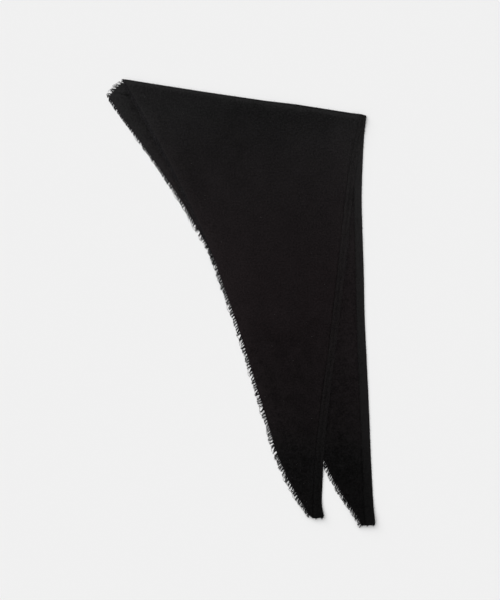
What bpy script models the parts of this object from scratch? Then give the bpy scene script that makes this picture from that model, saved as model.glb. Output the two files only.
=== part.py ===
"""Triangle scarf in brushed black wool, folded once and laid flat.

The scarf is one cut triangle. Its long edge is turned in and stitched as a
narrow hem, and its two short sides are frayed into a fringe. It is folded
once across, so an upper layer lies on a lower layer, and a turn of cloth
joins them along the top.

Sizes are in millimetres until a mesh is placed. x runs to the right and y up
the laid-out scarf, both from the corner where the fold meets the hem, and z is
the height above the surface that the scarf lies on.
"""

import math
import random

import bmesh
import bpy
import numpy as np
from mathutils import Matrix, Vector

MM = 0.001

# Thicknesses and clearances
CLOTH = 1.2         # one layer of wool
HEM = 2.4           # the hem, two layers of wool pressed together
GAP = 0.3           # between neighbouring solids
FLOOR_CLEAR = 0.2   # the fringe ends just above what it lies over

# The turn of cloth along the fold
TURN_DEPTH = 4.9    # from the fold's outline to the end of the turn
TURN_PUFF = 0.8     # the cloth doesn't lie pressed flat at the fold
PUFF_RUN = 26.0     # how far from the fold that looseness dies out
TURN_STEPS = 6      # facets round the turn

# How the upper layer steps over what it lies on
HEM_MARGIN = 6.0    # held up for this far beside the lower hem
HEM_RUN = 16.0      # and then comes down over this length
FRINGE_REACH = 9.0  # the lower fringe stands out this far
DROP_MARGIN = 5.0   # held up for this far beyond the lower fringe
DROP_RUN = 14.0     # and then comes down to the surface
STITCH_RISE = 0.6   # the upper layer runs into the top of its own hem
STITCH_RUN = 12.0

# Soft ridge that runs down the upper layer beside its frayed edge
RIDGE_RISE = 0.7
RIDGE_INSET = 16.0
RIDGE_WIDTH = 13.0
RIDGE_END = 4.6     # section number on the front layer
RIDGE_FADE = 64.0   # length over which it dies out there

# Mesh spacing
FRONT_SPACING = 20.0
FRONT_COLUMNS = 18
BACK_SPACING = 26.0
BACK_COLUMNS = 8
HEM_SPACING = 21.0
TURN_STATIONS = 30
HEM_TURN_STATIONS = 3
EDGE_CROWDING = 0.4  # 0 spaces a panel's columns evenly, 1 crowds its edges
LINE_STATIONS = 12   # stations a section where a line is only measured
STRAND_STATIONS = 400   # readings of the frayed edge that space a row of strands
DIRECTION_STEP = 0.01   # in sections, for the direction of the frayed edge
SHARP_ANGLE = 40.0      # degrees between faces, above which their edge looks sharp

# Fringe
STRIP_WIDTH = 1.6
STRIP_HEIGHT = 0.9
STRAND_FILL = (0.36, 0.60)     # thinnest and widest root, as shares of the pitch
STRAND_LENGTHS = (0.76, 1.0)   # shortest and longest, as shares of the fringe
STRAND_SHIFT = 0.09            # how far a root strays, as a share of the pitch
STRAND_KNEE = 0.55             # where a strand bends, as a share of its length
KNEE_HEIGHT = 0.42             # the knee's and the tip's height above FLOOR_CLEAR,
TIP_HEIGHT = 0.25              # as shares of the strip's height
KNEE_SIZE = 0.8                # the strand's size at the knee, as a share of its root
LEAN = (6.0, 24.0)             # degrees that strands lean down the scarf
KNEE_BEND = (-14.0, 14.0)      # degrees

WOOL = (0.0105, 0.0092, 0.0094)
WOOL_HEM = (0.0120, 0.0106, 0.0108)
WOOL_FRINGE = (0.0150, 0.0134, 0.0136)
WOOL_ROUGHNESS = 0.95


def table(columns, *rows):
    """Name the columns of a table of numbers."""
    values = np.array(rows, dtype=float).T
    return dict(zip(columns.split(), values))


# Sections through each layer, one row each, from the fold down to the tip.
# A section runs from the hem's outer edge to the frayed edge.
FRONT_SECTIONS = table(
    "hem_x   hem_y  hem_width  frayed_x  frayed_y  fringe",
    (1.0, -3.9, 14.0, -504.5, 72.8, 8.0),
    (-15.6, -88.0, 15.5, -453.0, -18.0, 8.5),
    (-25.6, -157.0, 16.0, -415.0, -89.0, 8.5),
    (-34.6, -240.0, 16.0, -372.0, -175.0, 8.8),
    (-42.6, -319.0, 16.0, -333.0, -259.0, 9.0),
    (-51.9, -395.0, 15.5, -302.0, -343.0, 9.0),
    (-63.2, -492.0, 15.3, -264.4, -450.1, 9.2),
    (-74.0, -576.0, 16.6, -235.6, -543.5, 9.4),
    (-82.7, -655.0, 17.3, -208.2, -632.7, 9.6),
    (-88.0, -719.0, 18.5, -186.8, -704.0, 10.4),
    (-90.2, -769.0, 19.0, -163.5, -757.0, 10.8),
    (-91.8, -806.0, 18.8, -143.7, -794.8, 9.8),
    (-90.5, -824.0, 20.2, -127.0, -821.5, 8.0),
    (-88.2, -835.0, 22.6, -120.0, -834.5, 6.5),
    (-88.8, -842.0, 21.6, -112.0, -843.0, 4.0),
)
BACK_SECTIONS = table(
    "hem_x   hem_y  hem_width  frayed_x  frayed_y  fringe",
    (1.0, -3.9, 14.0, -504.5, 72.8, 8.5),
    (-0.6, -19.0, 15.0, -522.6, 60.4, 8.0),
    (-2.6, -36.0, 16.0, -539.3, 41.3, 7.0),
    (-5.3, -82.0, 17.0, -505.8, -7.5, 4.6),
    (-8.0, -164.0, 17.0, -444.2, -91.8, 5.8),
    (-6.4, -243.0, 17.0, -387.1, -175.8, 7.4),
    (-3.7, -327.0, 17.4, -333.9, -268.4, 8.2),
    (-1.8, -416.5, 18.0, -278.9, -368.0, 8.5),
    (2.2, -506.0, 19.0, -224.5, -468.0, 8.5),
    (6.5, -595.0, 19.5, -170.0, -568.0, 8.5),
    (9.8, -677.0, 19.3, -120.0, -660.0, 8.5),
    (11.9, -727.6, 19.2, -89.5, -717.4, 9.0),
    (13.8, -765.0, 19.3, -67.7, -760.5, 9.4),
    (15.7, -799.0, 20.5, -45.8, -798.3, 9.4),
    (17.4, -826.0, 21.0, -27.4, -824.5, 9.4),
    (19.7, -848.0, 21.4, -13.2, -847.0, 9.4),
    (19.1, -857.3, 21.5, -8.0, -858.3, 9.0),
)
BACK_APEX = 2   # the row at the cloth's own corner, where the frayed edge turns

# How far the fold's outline bows out from a straight line, by its share of the
# way from the hem to the frayed edge.
FOLD_OUTLINE = table(
    "share  bow",
    (0.00, 0.3),
    (0.02, 1.9),
    (0.06, 1.2),
    (0.15, 1.4),
    (0.29, 1.8),
    (0.42, -0.4),
    (0.66, -1.1),
    (0.88, -0.6),
    (1.00, 0.0),
)

# The hem across: where each point of its outline lies, measured from the outer
# edge or, where from_stitch is 1, back from the stitch line, and its height.
HEM_OUTLINE = table(
    "from_stitch  distance  height",
    (0, 0.8, 0.00),
    (0, 0.0, 0.50),
    (0, 0.0, 0.78),
    (0, 1.2, 0.95),
    (0, 4.0, 1.00),
    (1, 4.5, 1.00),
    (1, 1.2, 0.82),
    (1, 0.0, 0.55),
    (1, 0.0, 0.00),
)

# Rows of strands: the layer, the sections where a row starts and ends, and the
# spacing of its strands.
FRINGES = (
    # name, layer, start, end, pitch
    ("fringe_front_top", "front", 0.04, 1.90, 7.3),
    ("fringe_front_upper", "front", 1.93, 4.00, 7.1),
    ("fringe_front_middle", "front", 4.03, 6.50, 7.0),
    ("fringe_front_lower", "front", 6.53, 9.00, 7.0),
    ("fringe_front_tip", "front", 9.03, 13.20, 6.8),
    ("fringe_apex", "back", 0.06, 1.96, 6.6),
    ("fringe_back_side", "back", 2.03, 5.70, 7.2),
    ("fringe_back_under_a", "back", 5.74, 8.40, 18.0),
    ("fringe_back_under_b", "back", 8.46, 10.90, 18.0),
    ("fringe_back_tip", "back", 10.94, 15.98, 6.7),
)


def ease(x):
    """Rise smoothly from 0 to 1 as x does."""
    x = np.clip(x, 0.0, 1.0)
    return x * x * (3.0 - 2.0 * x)


def smooth(rows, at, corners=()):
    """Read rows of numbers along a smooth curve, at row numbers with fractions.

    The curve turns sharply at the rows named in corners.
    """
    rows = np.asarray(rows, dtype=float)
    steps = np.diff(rows, axis=0)
    between = (steps[1:] + steps[:-1]) / 2
    leaving = np.vstack((steps[:1], between))
    arriving = np.vstack((between, steps[-1:]))
    for corner in corners:
        leaving[corner] = steps[corner]
        arriving[corner - 1] = steps[corner - 1]
    at = np.atleast_1d(np.asarray(at, dtype=float))
    row = np.clip(at.astype(int), 0, len(steps) - 1)
    part = (at - row)[:, None]
    rest = 1.0 - part
    return (
        rows[row] * (1 + 2 * part) * rest**2
        + leaving[row] * part * rest**2
        + rows[row + 1] * (1 + 2 * rest) * part**2
        - arriving[row] * rest * part**2
    )


def unit(vectors):
    return vectors / np.linalg.norm(vectors, axis=-1, keepdims=True)


class Layer:
    """One layer of the folded cloth, read at section numbers with fractions."""

    def __init__(self, sections, corners=()):
        self.sections = sections
        self.corners = corners
        self.last = len(sections["hem_x"]) - 1

    def read(self, columns, at):
        rows = np.column_stack([self.sections[name] for name in columns])
        return smooth(rows, at, self.corners)

    def hem_edge(self, at):
        return self.read(("hem_x", "hem_y"), at)

    def frayed_edge(self, at):
        return self.read(("frayed_x", "frayed_y"), at)

    def across(self, at):
        """Unit vectors along the sections, from the hem to the frayed edge."""
        return unit(self.frayed_edge(at) - self.hem_edge(at))

    def stitch_line(self, at):
        return self.hem_edge(at) + self.across(at) * self.read(("hem_width",), at)

    def fringe(self, at):
        return self.read(("fringe",), at)[:, 0]

    def outward(self, at):
        """Unit vectors square to the frayed edge, away from the cloth."""
        ahead = self.frayed_edge(at + DIRECTION_STEP)
        along = unit(ahead - self.frayed_edge(at - DIRECTION_STEP))
        return np.column_stack((along[:, 1], -along[:, 0]))

    def stations(self, spacing):
        """Section numbers about one spacing apart, with every row among them."""
        rows = np.arange(self.last + 1)
        lengths = np.linalg.norm(np.diff(self.frayed_edge(rows), axis=0), axis=1)
        counts = np.ceil(lengths / spacing).astype(int)
        places = [np.linspace(row, row + 1, n, endpoint=False) for row, n in zip(rows, counts)]
        return np.concatenate(places + [[self.last]])


FRONT = Layer(FRONT_SECTIONS)
BACK = Layer(BACK_SECTIONS, corners=(BACK_APEX,))
LAYERS = {"front": FRONT, "back": BACK}


def dense_line(read, layer):
    return read(np.linspace(0, layer.last, layer.last * LINE_STATIONS + 1))


BACK_FRAYED_LINE = dense_line(BACK.frayed_edge, BACK)
BACK_STITCH_LINE = dense_line(BACK.stitch_line, BACK)
FRONT_STITCH_LINE = dense_line(FRONT.stitch_line, FRONT)
FRONT_FRAYED_LINE = dense_line(FRONT.frayed_edge, FRONT)
FOLD_LINE = np.vstack((FRONT.hem_edge(0), FRONT.frayed_edge(0)))


def right_of(line, points):
    """Distance of points from a line, negative to the left of its direction."""
    start = line[:-1]
    step = np.diff(line, axis=0)
    reach = points[:, None, :] - start
    share = np.sum(reach * step, axis=2) / np.sum(step * step, axis=1)
    nearest = start + np.clip(share, 0, 1)[..., None] * step
    distance = np.linalg.norm(points[:, None, :] - nearest, axis=2)
    pick = np.argmin(distance, axis=1)
    rows = np.arange(len(points))
    turn = step[pick, 0] * reach[rows, pick, 1] - step[pick, 1] * reach[rows, pick, 0]
    return np.where(turn < 0, 1, -1) * distance[rows, pick]


def upper_underside(points):
    """Height of the upper layer's underside at (x, y) points.

    It lies on the lower layer, over that layer's hem and fringe, and comes
    down to the surface where it reaches past them.
    """
    points = np.atleast_2d(points)
    beyond_fringe = right_of(BACK_FRAYED_LINE, points) - FRINGE_REACH - DROP_MARGIN
    beside_hem = right_of(BACK_STITCH_LINE, points) - HEM_MARGIN
    from_fold = np.abs(right_of(FOLD_LINE, points))
    height = (CLOTH + GAP) * (1.0 - ease(beyond_fringe / DROP_RUN))
    height += (HEM - CLOTH) * (1.0 - ease(beside_hem / HEM_RUN))
    height += TURN_PUFF * (1.0 - ease(from_fold / PUFF_RUN))
    return height


def front_underside(points):
    """Height of the front panel's underside, with its rise to the hem and its ridge."""
    points = np.atleast_2d(points)
    from_stitch = np.abs(right_of(FRONT_STITCH_LINE, points))
    from_edge = np.abs(right_of(FRONT_FRAYED_LINE, points))
    ridge_end = FRONT.frayed_edge(RIDGE_END)[0, 1]
    fade = ease((points[:, 1] - ridge_end) / RIDGE_FADE)
    ridge = np.exp(-(((from_edge - RIDGE_INSET) / RIDGE_WIDTH) ** 2)) * fade
    rise = STITCH_RISE * (1.0 - ease(from_stitch / STITCH_RUN))
    return upper_underside(points) + rise + RIDGE_RISE * ridge


def clear_scene():
    for obj in list(bpy.data.objects):
        bpy.data.objects.remove(obj)


def wool_material(name, colour):
    material = bpy.data.materials.new(name)
    material.use_nodes = True
    shader = material.node_tree.nodes["Principled BSDF"]
    shader.inputs["Base Color"].default_value = (*colour, 1.0)
    shader.inputs["Roughness"].default_value = WOOL_ROUGHNESS
    shader.inputs["Metallic"].default_value = 0.0
    return material


def place(name, bm, colour, parent):
    """Turn a bmesh in millimetres into a named object."""
    bmesh.ops.scale(bm, vec=(MM, MM, MM), verts=bm.verts)
    mesh = bpy.data.meshes.new(name)
    bm.to_mesh(mesh)
    bm.free()
    mesh.shade_smooth()
    mesh.set_sharp_from_angle(angle=math.radians(SHARP_ANGLE))
    mesh.materials.append(wool_material(name, colour))
    obj = bpy.data.objects.new(name, mesh)
    obj.parent = parent
    bpy.context.scene.collection.objects.link(obj)
    return obj


def grid_places(bm, rows, columns):
    """Row and column numbers of each vertex of a fresh grid of size 1."""
    places = []
    for vert in bm.verts:
        row = round((vert.co.x + 1) / 2 * rows)
        column = round((vert.co.y + 1) / 2 * columns)
        places.append((row, column))
    return places


def make_panel(name, layer, spacing, columns, underside, parent):
    """One layer's panel: a grid of its sections, given the cloth's thickness."""
    at = layer.stations(spacing)
    inner = layer.stitch_line(at) + layer.across(at) * GAP
    outer = layer.frayed_edge(at)
    even = np.linspace(0, 1, columns + 1)
    share = even - EDGE_CROWDING * np.sin(2 * math.pi * even) / (2 * math.pi)
    flat = inner[:, None, :] * (1 - share[:, None]) + outer[:, None, :] * share[:, None]
    heights = underside(flat.reshape(-1, 2)).reshape(flat.shape[:2])

    bm = bmesh.new()
    bmesh.ops.create_grid(bm, x_segments=len(at) - 1, y_segments=columns, size=1)
    for vert, (row, column) in zip(bm.verts, grid_places(bm, len(at) - 1, columns)):
        x, y = flat[row, column]
        vert.co = (x, y, heights[row, column])
    bmesh.ops.recalc_face_normals(bm, faces=bm.faces)
    if bm.faces[0].normal.z < 0:
        bmesh.ops.reverse_faces(bm, faces=bm.faces)
    obj = place(name, bm, WOOL, parent)
    wall = obj.modifiers.new("thickness", "SOLIDIFY")
    wall.thickness = CLOTH * MM
    wall.offset = 1.0
    return obj


def make_loft(name, rings, colour, parent):
    """A closed solid through rings of points, with flat ends."""
    bm = bmesh.new()
    loops = [[bm.verts.new(Vector(point)) for point in ring] for ring in rings]
    around = len(rings[0])
    for near, far in zip(loops, loops[1:]):
        for k in range(around):
            following = (k + 1) % around
            bm.faces.new((near[k], near[following], far[following], far[k]))
    bm.faces.new(loops[0])
    bm.faces.new(loops[-1])
    bmesh.ops.recalc_face_normals(bm, faces=bm.faces)
    return place(name, bm, colour, parent)


def make_hem(name, layer, underside, parent):
    """The turned and stitched hem of one layer, from the fold to the tip."""
    at = layer.stations(HEM_SPACING)
    edge = layer.hem_edge(at)
    across = layer.across(at)
    width = layer.read(("hem_width",), at)
    rings = []
    for point, direction, band in zip(edge, across, width):
        from_stitch = HEM_OUTLINE["from_stitch"] == 1
        distance = np.where(from_stitch, band - HEM_OUTLINE["distance"], HEM_OUTLINE["distance"])
        flat = point + distance[:, None] * direction
        heights = underside(flat) + HEM_OUTLINE["height"] * HEM
        rings.append(np.column_stack((flat, heights)))
    return make_loft(name, rings, WOOL_HEM, parent)


def turn_ring(inner_end, outline, thickness, underside):
    """Section round the fold: up the outer wall and back down the inner wall.

    inner_end and outline are the (x, y) points where the turn ends and where
    it reaches furthest out. underside is that of the layer above.
    """
    depth = np.linalg.norm(outline - inner_end)
    outward = (outline - inner_end) / depth
    slot_top = underside(inner_end)[0]
    outer_radius = (slot_top + thickness) / 2
    inner_radius = (slot_top - thickness) / 2
    angles = np.linspace(-math.pi / 2, math.pi / 2, TURN_STEPS + 1)
    bend = depth - outer_radius
    ring = [(0.0, 0.0)]
    ring += [(bend + outer_radius * math.cos(a), outer_radius * (1 + math.sin(a))) for a in angles]
    ring += [(0.0, slot_top + thickness), (0.0, slot_top)]
    ring += [
        (bend + inner_radius * math.cos(a), outer_radius + inner_radius * math.sin(a))
        for a in reversed(angles)
    ]
    ring += [(0.0, thickness)]
    return [(*(inner_end + outward * distance), height) for distance, height in ring]


def make_turn(name, start, end, stations, thickness, underside, colour, parent):
    """A stretch of the turn along the fold, between two (x, y) points on it."""
    whole = np.linalg.norm(FOLD_LINE[1] - FOLD_LINE[0])
    along = (FOLD_LINE[1] - FOLD_LINE[0]) / whole
    outward = np.array((along[1], -along[0]))
    rings = []
    for share in np.linspace(0, 1, stations):
        place_on_line = start + (end - start) * share
        along_fold = np.linalg.norm(place_on_line - FOLD_LINE[0]) / whole
        bow = np.interp(along_fold, FOLD_OUTLINE["share"], FOLD_OUTLINE["bow"])
        inner_end = place_on_line + outward * GAP
        outline = place_on_line + outward * (GAP + TURN_DEPTH + bow)
        rings.append(turn_ring(inner_end, outline, thickness, underside))
    return make_loft(name, rings, colour, parent)


def make_fringe(name, layer, start, end, pitch, underside, parent):
    """A row of strands on a narrow strip, parted from the cloth's frayed edge."""
    fine = np.linspace(start, end, STRAND_STATIONS)
    line = layer.frayed_edge(fine)
    travelled = np.concatenate(([0], np.cumsum(np.linalg.norm(np.diff(line, axis=0), axis=1))))
    count = round(travelled[-1] / pitch)
    pitch = travelled[-1] / count
    chance = random.Random(name)

    knots = [0.0]
    for strand in range(count):
        root = pitch * chance.uniform(*STRAND_FILL)
        centre = pitch * (strand + 0.5 + chance.uniform(-STRAND_SHIFT, STRAND_SHIFT))
        knots += [centre - root / 2, centre + root / 2]
    knots.append(travelled[-1])
    at = np.interp(knots, travelled, fine)
    edge = layer.frayed_edge(at)
    outward = layer.outward(at)
    rails = (edge + outward * GAP, edge + outward * (GAP + STRIP_WIDTH))
    heights = [underside(rail) + FLOOR_CLEAR for rail in rails]

    bm = bmesh.new()
    bmesh.ops.create_grid(bm, x_segments=len(knots) - 1, y_segments=1, size=1)
    outer_verts = {}
    for vert, (knot, side) in zip(bm.verts, grid_places(bm, len(knots) - 1, 1)):
        x, y = rails[side][knot]
        vert.co = (x, y, heights[side][knot])
        if side == 1:
            outer_verts[knot] = vert
    root_knots = range(1, 2 * count, 2)
    outer_edges = [bm.edges.get((outer_verts[k], outer_verts[k + 1])) for k in root_knots]
    flat_strip = bm.faces[:] + bm.edges[:] + bm.verts[:]
    grown = bmesh.ops.extrude_face_region(bm, geom=flat_strip, use_keep_orig=True)
    lifted = [item for item in grown["geom"] if isinstance(item, bmesh.types.BMVert)]
    bmesh.ops.translate(bm, vec=(0, 0, STRIP_HEIGHT), verts=lifted)
    bmesh.ops.recalc_face_normals(bm, faces=bm.faces)

    fringe = layer.fringe(at)
    for knot, root_edge in zip(root_knots, outer_edges):
        root = min(root_edge.link_faces, key=lambda face: abs(face.normal.z))
        length = (fringe[knot] - STRIP_WIDTH - GAP) * chance.uniform(*STRAND_LENGTHS)
        lean = math.radians(chance.uniform(*LEAN))
        bend = math.radians(chance.uniform(*KNEE_BEND))
        grow_strand(bm, root, Vector((*outward[knot], 0)), length, (lean, lean + bend), underside)
    bmesh.ops.recalc_face_normals(bm, faces=bm.faces)
    return place(name, bm, WOOL_FRINGE, parent)


def grow_strand(bm, root, outward, length, leans, underside):
    """Grow one strand of four sides from a face of its strip, to a pointed end."""
    face = root
    stretches = ((STRAND_KNEE, KNEE_HEIGHT), (1.0 - STRAND_KNEE, TIP_HEIGHT))
    for lean, (share, height) in zip(leans, stretches):
        before = face.calc_center_median()
        centre = before + Matrix.Rotation(lean, 3, "Z") @ outward * length * share
        centre.z = underside(np.array([centre[:2]]))[0] + FLOOR_CLEAR + STRIP_HEIGHT * height
        face = bmesh.ops.extrude_discrete_faces(bm, faces=[face])["faces"][0]
        for vert in face.verts:
            vert.co = centre + (vert.co - before) * KNEE_SIZE
    bmesh.ops.pointmerge(bm, verts=face.verts, merge_co=centre)


def lower_underside(points):
    """The lower layer lies flat on the surface."""
    return np.zeros(len(np.atleast_2d(points)))


def centre_over_origin(parent, pieces):
    """Put the middle of the scarf's outline over the origin."""
    corners = np.array([vert.co[:2] for piece in pieces for vert in piece.data.vertices])
    middle = (corners.min(axis=0) + corners.max(axis=0)) / 2
    parent.location = (-middle[0], -middle[1], 0.0)


def main():
    clear_scene()
    fold_corner = bpy.data.objects.new("fold_corner", None)
    bpy.context.scene.collection.objects.link(fold_corner)
    undersides = {"front": upper_underside, "back": lower_underside}

    pieces = [
        make_panel("cloth_back", BACK, BACK_SPACING, BACK_COLUMNS, lower_underside, fold_corner),
        make_panel("cloth_front", FRONT, FRONT_SPACING, FRONT_COLUMNS, front_underside, fold_corner),
        make_hem("hem_back", BACK, lower_underside, fold_corner),
        make_hem("hem_front", FRONT, upper_underside, fold_corner),
    ]
    hem_corner = FRONT.hem_edge(0)[0]
    stitch_corner = FRONT.stitch_line(0)[0]
    panel_corner = stitch_corner + FRONT.across(0)[0] * GAP
    frayed_corner = FRONT.frayed_edge(0)[0]
    pieces.append(
        make_turn(
            "hem_turn",
            hem_corner,
            stitch_corner,
            HEM_TURN_STATIONS,
            HEM,
            upper_underside,
            WOOL_HEM,
            fold_corner,
        )
    )
    pieces.append(
        make_turn(
            "cloth_fold",
            panel_corner,
            frayed_corner,
            TURN_STATIONS,
            CLOTH,
            front_underside,
            WOOL,
            fold_corner,
        )
    )
    for name, layer, start, end, pitch in FRINGES:
        pieces.append(make_fringe(name, LAYERS[layer], start, end, pitch, undersides[layer], fold_corner))
    centre_over_origin(fold_corner, pieces)


main()
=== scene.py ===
"""Triangle scarf in brushed black wool, folded once and laid flat.

The packed solids are the frame. Each is stood for by a finished piece in the
same place: one sheet of cloth that runs round the fold, one hem that runs with
it, a row of stitches, and the loose threads of the frayed edges.

Tables are in millimetres from the corner where the fold meets the hem, with x
to the right and y up the laid-out scarf. All other lengths are in metres.
"""

import math
import random

import bmesh
import bpy
import numpy as np
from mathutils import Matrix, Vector, noise


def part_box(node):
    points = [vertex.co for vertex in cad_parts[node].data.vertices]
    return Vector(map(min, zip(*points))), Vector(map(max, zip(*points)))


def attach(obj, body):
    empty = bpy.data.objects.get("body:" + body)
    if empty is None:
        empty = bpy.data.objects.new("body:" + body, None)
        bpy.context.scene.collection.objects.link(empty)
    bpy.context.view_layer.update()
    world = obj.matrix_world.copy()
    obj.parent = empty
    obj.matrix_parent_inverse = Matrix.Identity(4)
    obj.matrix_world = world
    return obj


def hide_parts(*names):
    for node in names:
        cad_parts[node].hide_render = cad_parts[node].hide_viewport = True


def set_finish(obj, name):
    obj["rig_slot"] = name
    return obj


bl_info = {
    "name": "Folded Triangle Scarf",
    "version": (1, 0, 0),
    "blender": (4, 5, 0),
    "location": "3D View > Sidebar > Scarf",
    "description": "Brushed wool triangle scarf with a stitched hem and frayed sides",
    "category": "Object",
}

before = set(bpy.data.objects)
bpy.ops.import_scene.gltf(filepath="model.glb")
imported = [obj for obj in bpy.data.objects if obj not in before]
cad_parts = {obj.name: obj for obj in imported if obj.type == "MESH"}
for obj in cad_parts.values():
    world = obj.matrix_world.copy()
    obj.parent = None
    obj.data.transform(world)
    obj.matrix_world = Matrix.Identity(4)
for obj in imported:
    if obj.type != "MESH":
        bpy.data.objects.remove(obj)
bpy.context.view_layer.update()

MM = 0.001


def table(columns, *rows):
    """Name the columns of a table of numbers."""
    values = np.array(rows, dtype=float).T
    return dict(zip(columns.split(), values))


# Sections through each layer, one row each, from the fold down to the tip.
# A section runs from the hem's outer edge to the frayed edge.
FRONT_SECTIONS = table(
    "hem_x   hem_y  hem_width  frayed_x  frayed_y  fringe",
    (1, -3.9, 14, -504.5, 72.8, 8),
    (-15.6, -88, 15.5, -453, -18, 8.5),
    (-25.6, -157, 16, -415, -89, 8.5),
    (-34.6, -240, 16, -372, -175, 8.8),
    (-42.6, -319, 16, -333, -259, 9),
    (-51.9, -395, 15.5, -302, -343, 9),
    (-63.2, -492, 15.3, -264.4, -450.1, 9.2),
    (-74, -576, 16.6, -235.6, -543.5, 9.4),
    (-82.7, -655, 17.3, -208.2, -632.7, 9.6),
    (-88, -719, 18.5, -186.8, -704, 10.4),
    (-90.2, -769, 19, -163.5, -757, 10.8),
    (-91.8, -806, 18.8, -143.7, -794.8, 9.8),
    (-90.5, -824, 20.2, -127, -821.5, 8),
    (-88.2, -835, 22.6, -120, -834.5, 6.5),
    (-88.8, -842, 21.6, -112, -843, 4),
)
BACK_SECTIONS = table(
    "hem_x   hem_y  hem_width  frayed_x  frayed_y  fringe",
    (1, -3.9, 14, -504.5, 72.8, 8.5),
    (-0.6, -19, 15, -522.6, 60.4, 8),
    (-2.6, -36, 16, -539.3, 41.3, 7),
    (-5.3, -82, 17, -505.8, -7.5, 4.6),
    (-8, -164, 17, -444.2, -91.8, 5.8),
    (-6.4, -243, 17, -387.1, -175.8, 7.4),
    (-3.7, -327, 17.4, -333.9, -268.4, 8.2),
    (-1.8, -416.5, 18, -278.9, -368, 8.5),
    (2.2, -506, 19, -224.5, -468, 8.5),
    (6.5, -595, 19.5, -170, -568, 8.5),
    (9.8, -677, 19.3, -120, -660, 8.5),
    (11.9, -727.6, 19.2, -89.5, -717.4, 9),
    (13.8, -765, 19.3, -67.7, -760.5, 9.4),
    (15.7, -799, 20.5, -45.8, -798.3, 9.4),
    (17.4, -826, 21, -27.4, -824.5, 9.4),
    (19.7, -848, 21.4, -13.2, -847, 9.4),
    (19.1, -857.3, 21.5, -8, -858.3, 9),
)
BACK_APEX = 2   # the row at the cloth's own corner, where the frayed edge turns

# How far the fold's outline bows out from a straight line, by its share of the
# way from the hem to the frayed edge.
FOLD_OUTLINE = table(
    "share  bow",
    (0, 0.3),
    (0.02, 1.9),
    (0.06, 1.2),
    (0.15, 1.4),
    (0.29, 1.8),
    (0.42, -0.4),
    (0.66, -1.1),
    (0.88, -0.6),
    (1, 0),
)

# The hem across, as a closed outline. Each point lies at a share of the hem's
# width from its outer edge, plus an offset, and at a share of its thickness
# from the side that faces the inside of the fold: one on the front layer, whose
# far side shows, and one on the back layer, whose near side shows. The last two
# columns make the wool lighter there, or darker below 0: painted highlight on
# the ridges and outer edges, painted shade in the valley and in the groove at
# the seam, and a lighter band over the whole hem on the back layer.
HEM_OUTLINE = table(
    "share offset front_depth back_depth front_wear back_wear",
    (0, 0.7, 0.06, 0.2, 0, 0.52),
    (0, 2.6, 0, 0.02, 0, 0.42),
    (0, 4.6, 0, 0, 0, 0.32),
    (0.5, 0, 0, 0.16, 0, 0.24),
    (1, -4.2, 0, 0.02, 0, 0.2),
    (1, -2.4, 0.02, 0.03, 0, 0.14),
    (1, -1, 0.1, 0.26, 0, 0.05),
    (1, -0.2, 0.28, 0.52, 0, -0.14),
    (1, 0, 0.42, 0.75, -0.24, -0.2),
    (1, -0.3, 0.58, 0.97, -0.24, 0),
    (1, -1.2, 0.82, 1, -0.08, 0),
    (1, -2.4, 0.96, 1, 0.05, 0),
    (1, -4.2, 1, 1, 0.07, 0),
    (0.5, 0, 0.74, 1, -0.13, 0),
    (0, 4.6, 1, 1, 0.03, 0),
    (0, 2.6, 1, 1, 0.11, 0),
    (0, 1.1, 0.9, 1, 0.12, 0),
    (0, 0.3, 0.7, 0.92, 0.05, 0.2),
    (0, 0, 0.46, 0.66, 0, 0.35),
    (0, 0.2, 0.22, 0.4, 0, 0.5),
)

# Creases and soft rolls that show, from one end to the other. A soft one has a
# large width, and a trough a rise below 0.
FRONT_CREASES = table(
    "start_x  start_y  end_x  end_y  width  rise",
    (-383, -39, -341, -203, 15, -0.25),
    (-463, 49, -295, 32.5, 9, -0.2),
    (-190, -537, -127, -480, 6, 0.4),
    (-199, -530, -136, -473, 5, -0.2),
    (-217, -427, -171, -503, 13, -0.25),
    (-190, -395, -160, -445, 20, 0.45),
    (-105, -392, -70, -440, 14, 0.35),
    (-120, -165, -80, -225, 12, -0.25),
    (-98, -15, -72, -55, 12, -0.25),
    (-58, -10, -66, -95, 11, 0.4),
    (-170, -610, -135, -640, 12, 0.35),
    (-250, -70, -205, -130, 22, 0.4),
    (-330, -100, -300, -170, 18, 0.35),
    (-285, 18, -138, -7, 13, -0.45),
)
BACK_CREASES = table(
    "start_x  start_y  end_x  end_y  width  rise",
    (-530, 51, -494, 43, 6, 0.5),
    (-530, 51, -492, 43, 2.4, -2.4),
    (-53, -412.6, -3, -413.6, 6, 0.45),
    (-53, -412.6, -3, -413.6, 2.2, -0.6),
    (-52, -576, -37, -522, 5, 0.45),
    (-34, -560, -20, -505, 5, 0.4),
    (-40, -640, -28, -600, 8, 0.35),
)

# Rows of loose threads, each in place of the solid of its name: the layer, the
# sections where it starts and ends, a usual tuft's width at its roots, the gap
# beside it, and the spacing of the threads in a tuft and of the single ones in
# a gap.
FRINGES = (
    # name, layer, start, end, tuft, gap, close, loose
    ("fringe_front_top", "front", 0.02, 1.9, 3.8, 1.6, 0.4, 2.1),
    ("fringe_front_upper", "front", 1.93, 4, 3.8, 1.7, 0.4, 2.2),
    ("fringe_front_middle", "front", 4.03, 6.5, 3.7, 1.8, 0.38, 2.3),
    ("fringe_front_lower", "front", 6.53, 9, 4, 1.8, 0.4, 2.2),
    ("fringe_front_tip", "front", 9.03, 13.3, 5.2, 1.4, 0.46, 1.2),
    ("fringe_apex", "back", 0.02, 1.94, 3.6, 2.1, 0.42, 1.8),
    ("fringe_back_side", "back", 2.03, 5.7, 4.3, 1.5, 0.46, 1),
    ("fringe_back_under_a", "back", 5.74, 8.4, 3, 6, 0.36, 3),
    ("fringe_back_under_b", "back", 8.46, 10.9, 3, 6, 0.36, 3),
    ("fringe_back_tip", "back", 10.94, 15.98, 4.2, 1, 0.48, 0.8),
)

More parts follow.
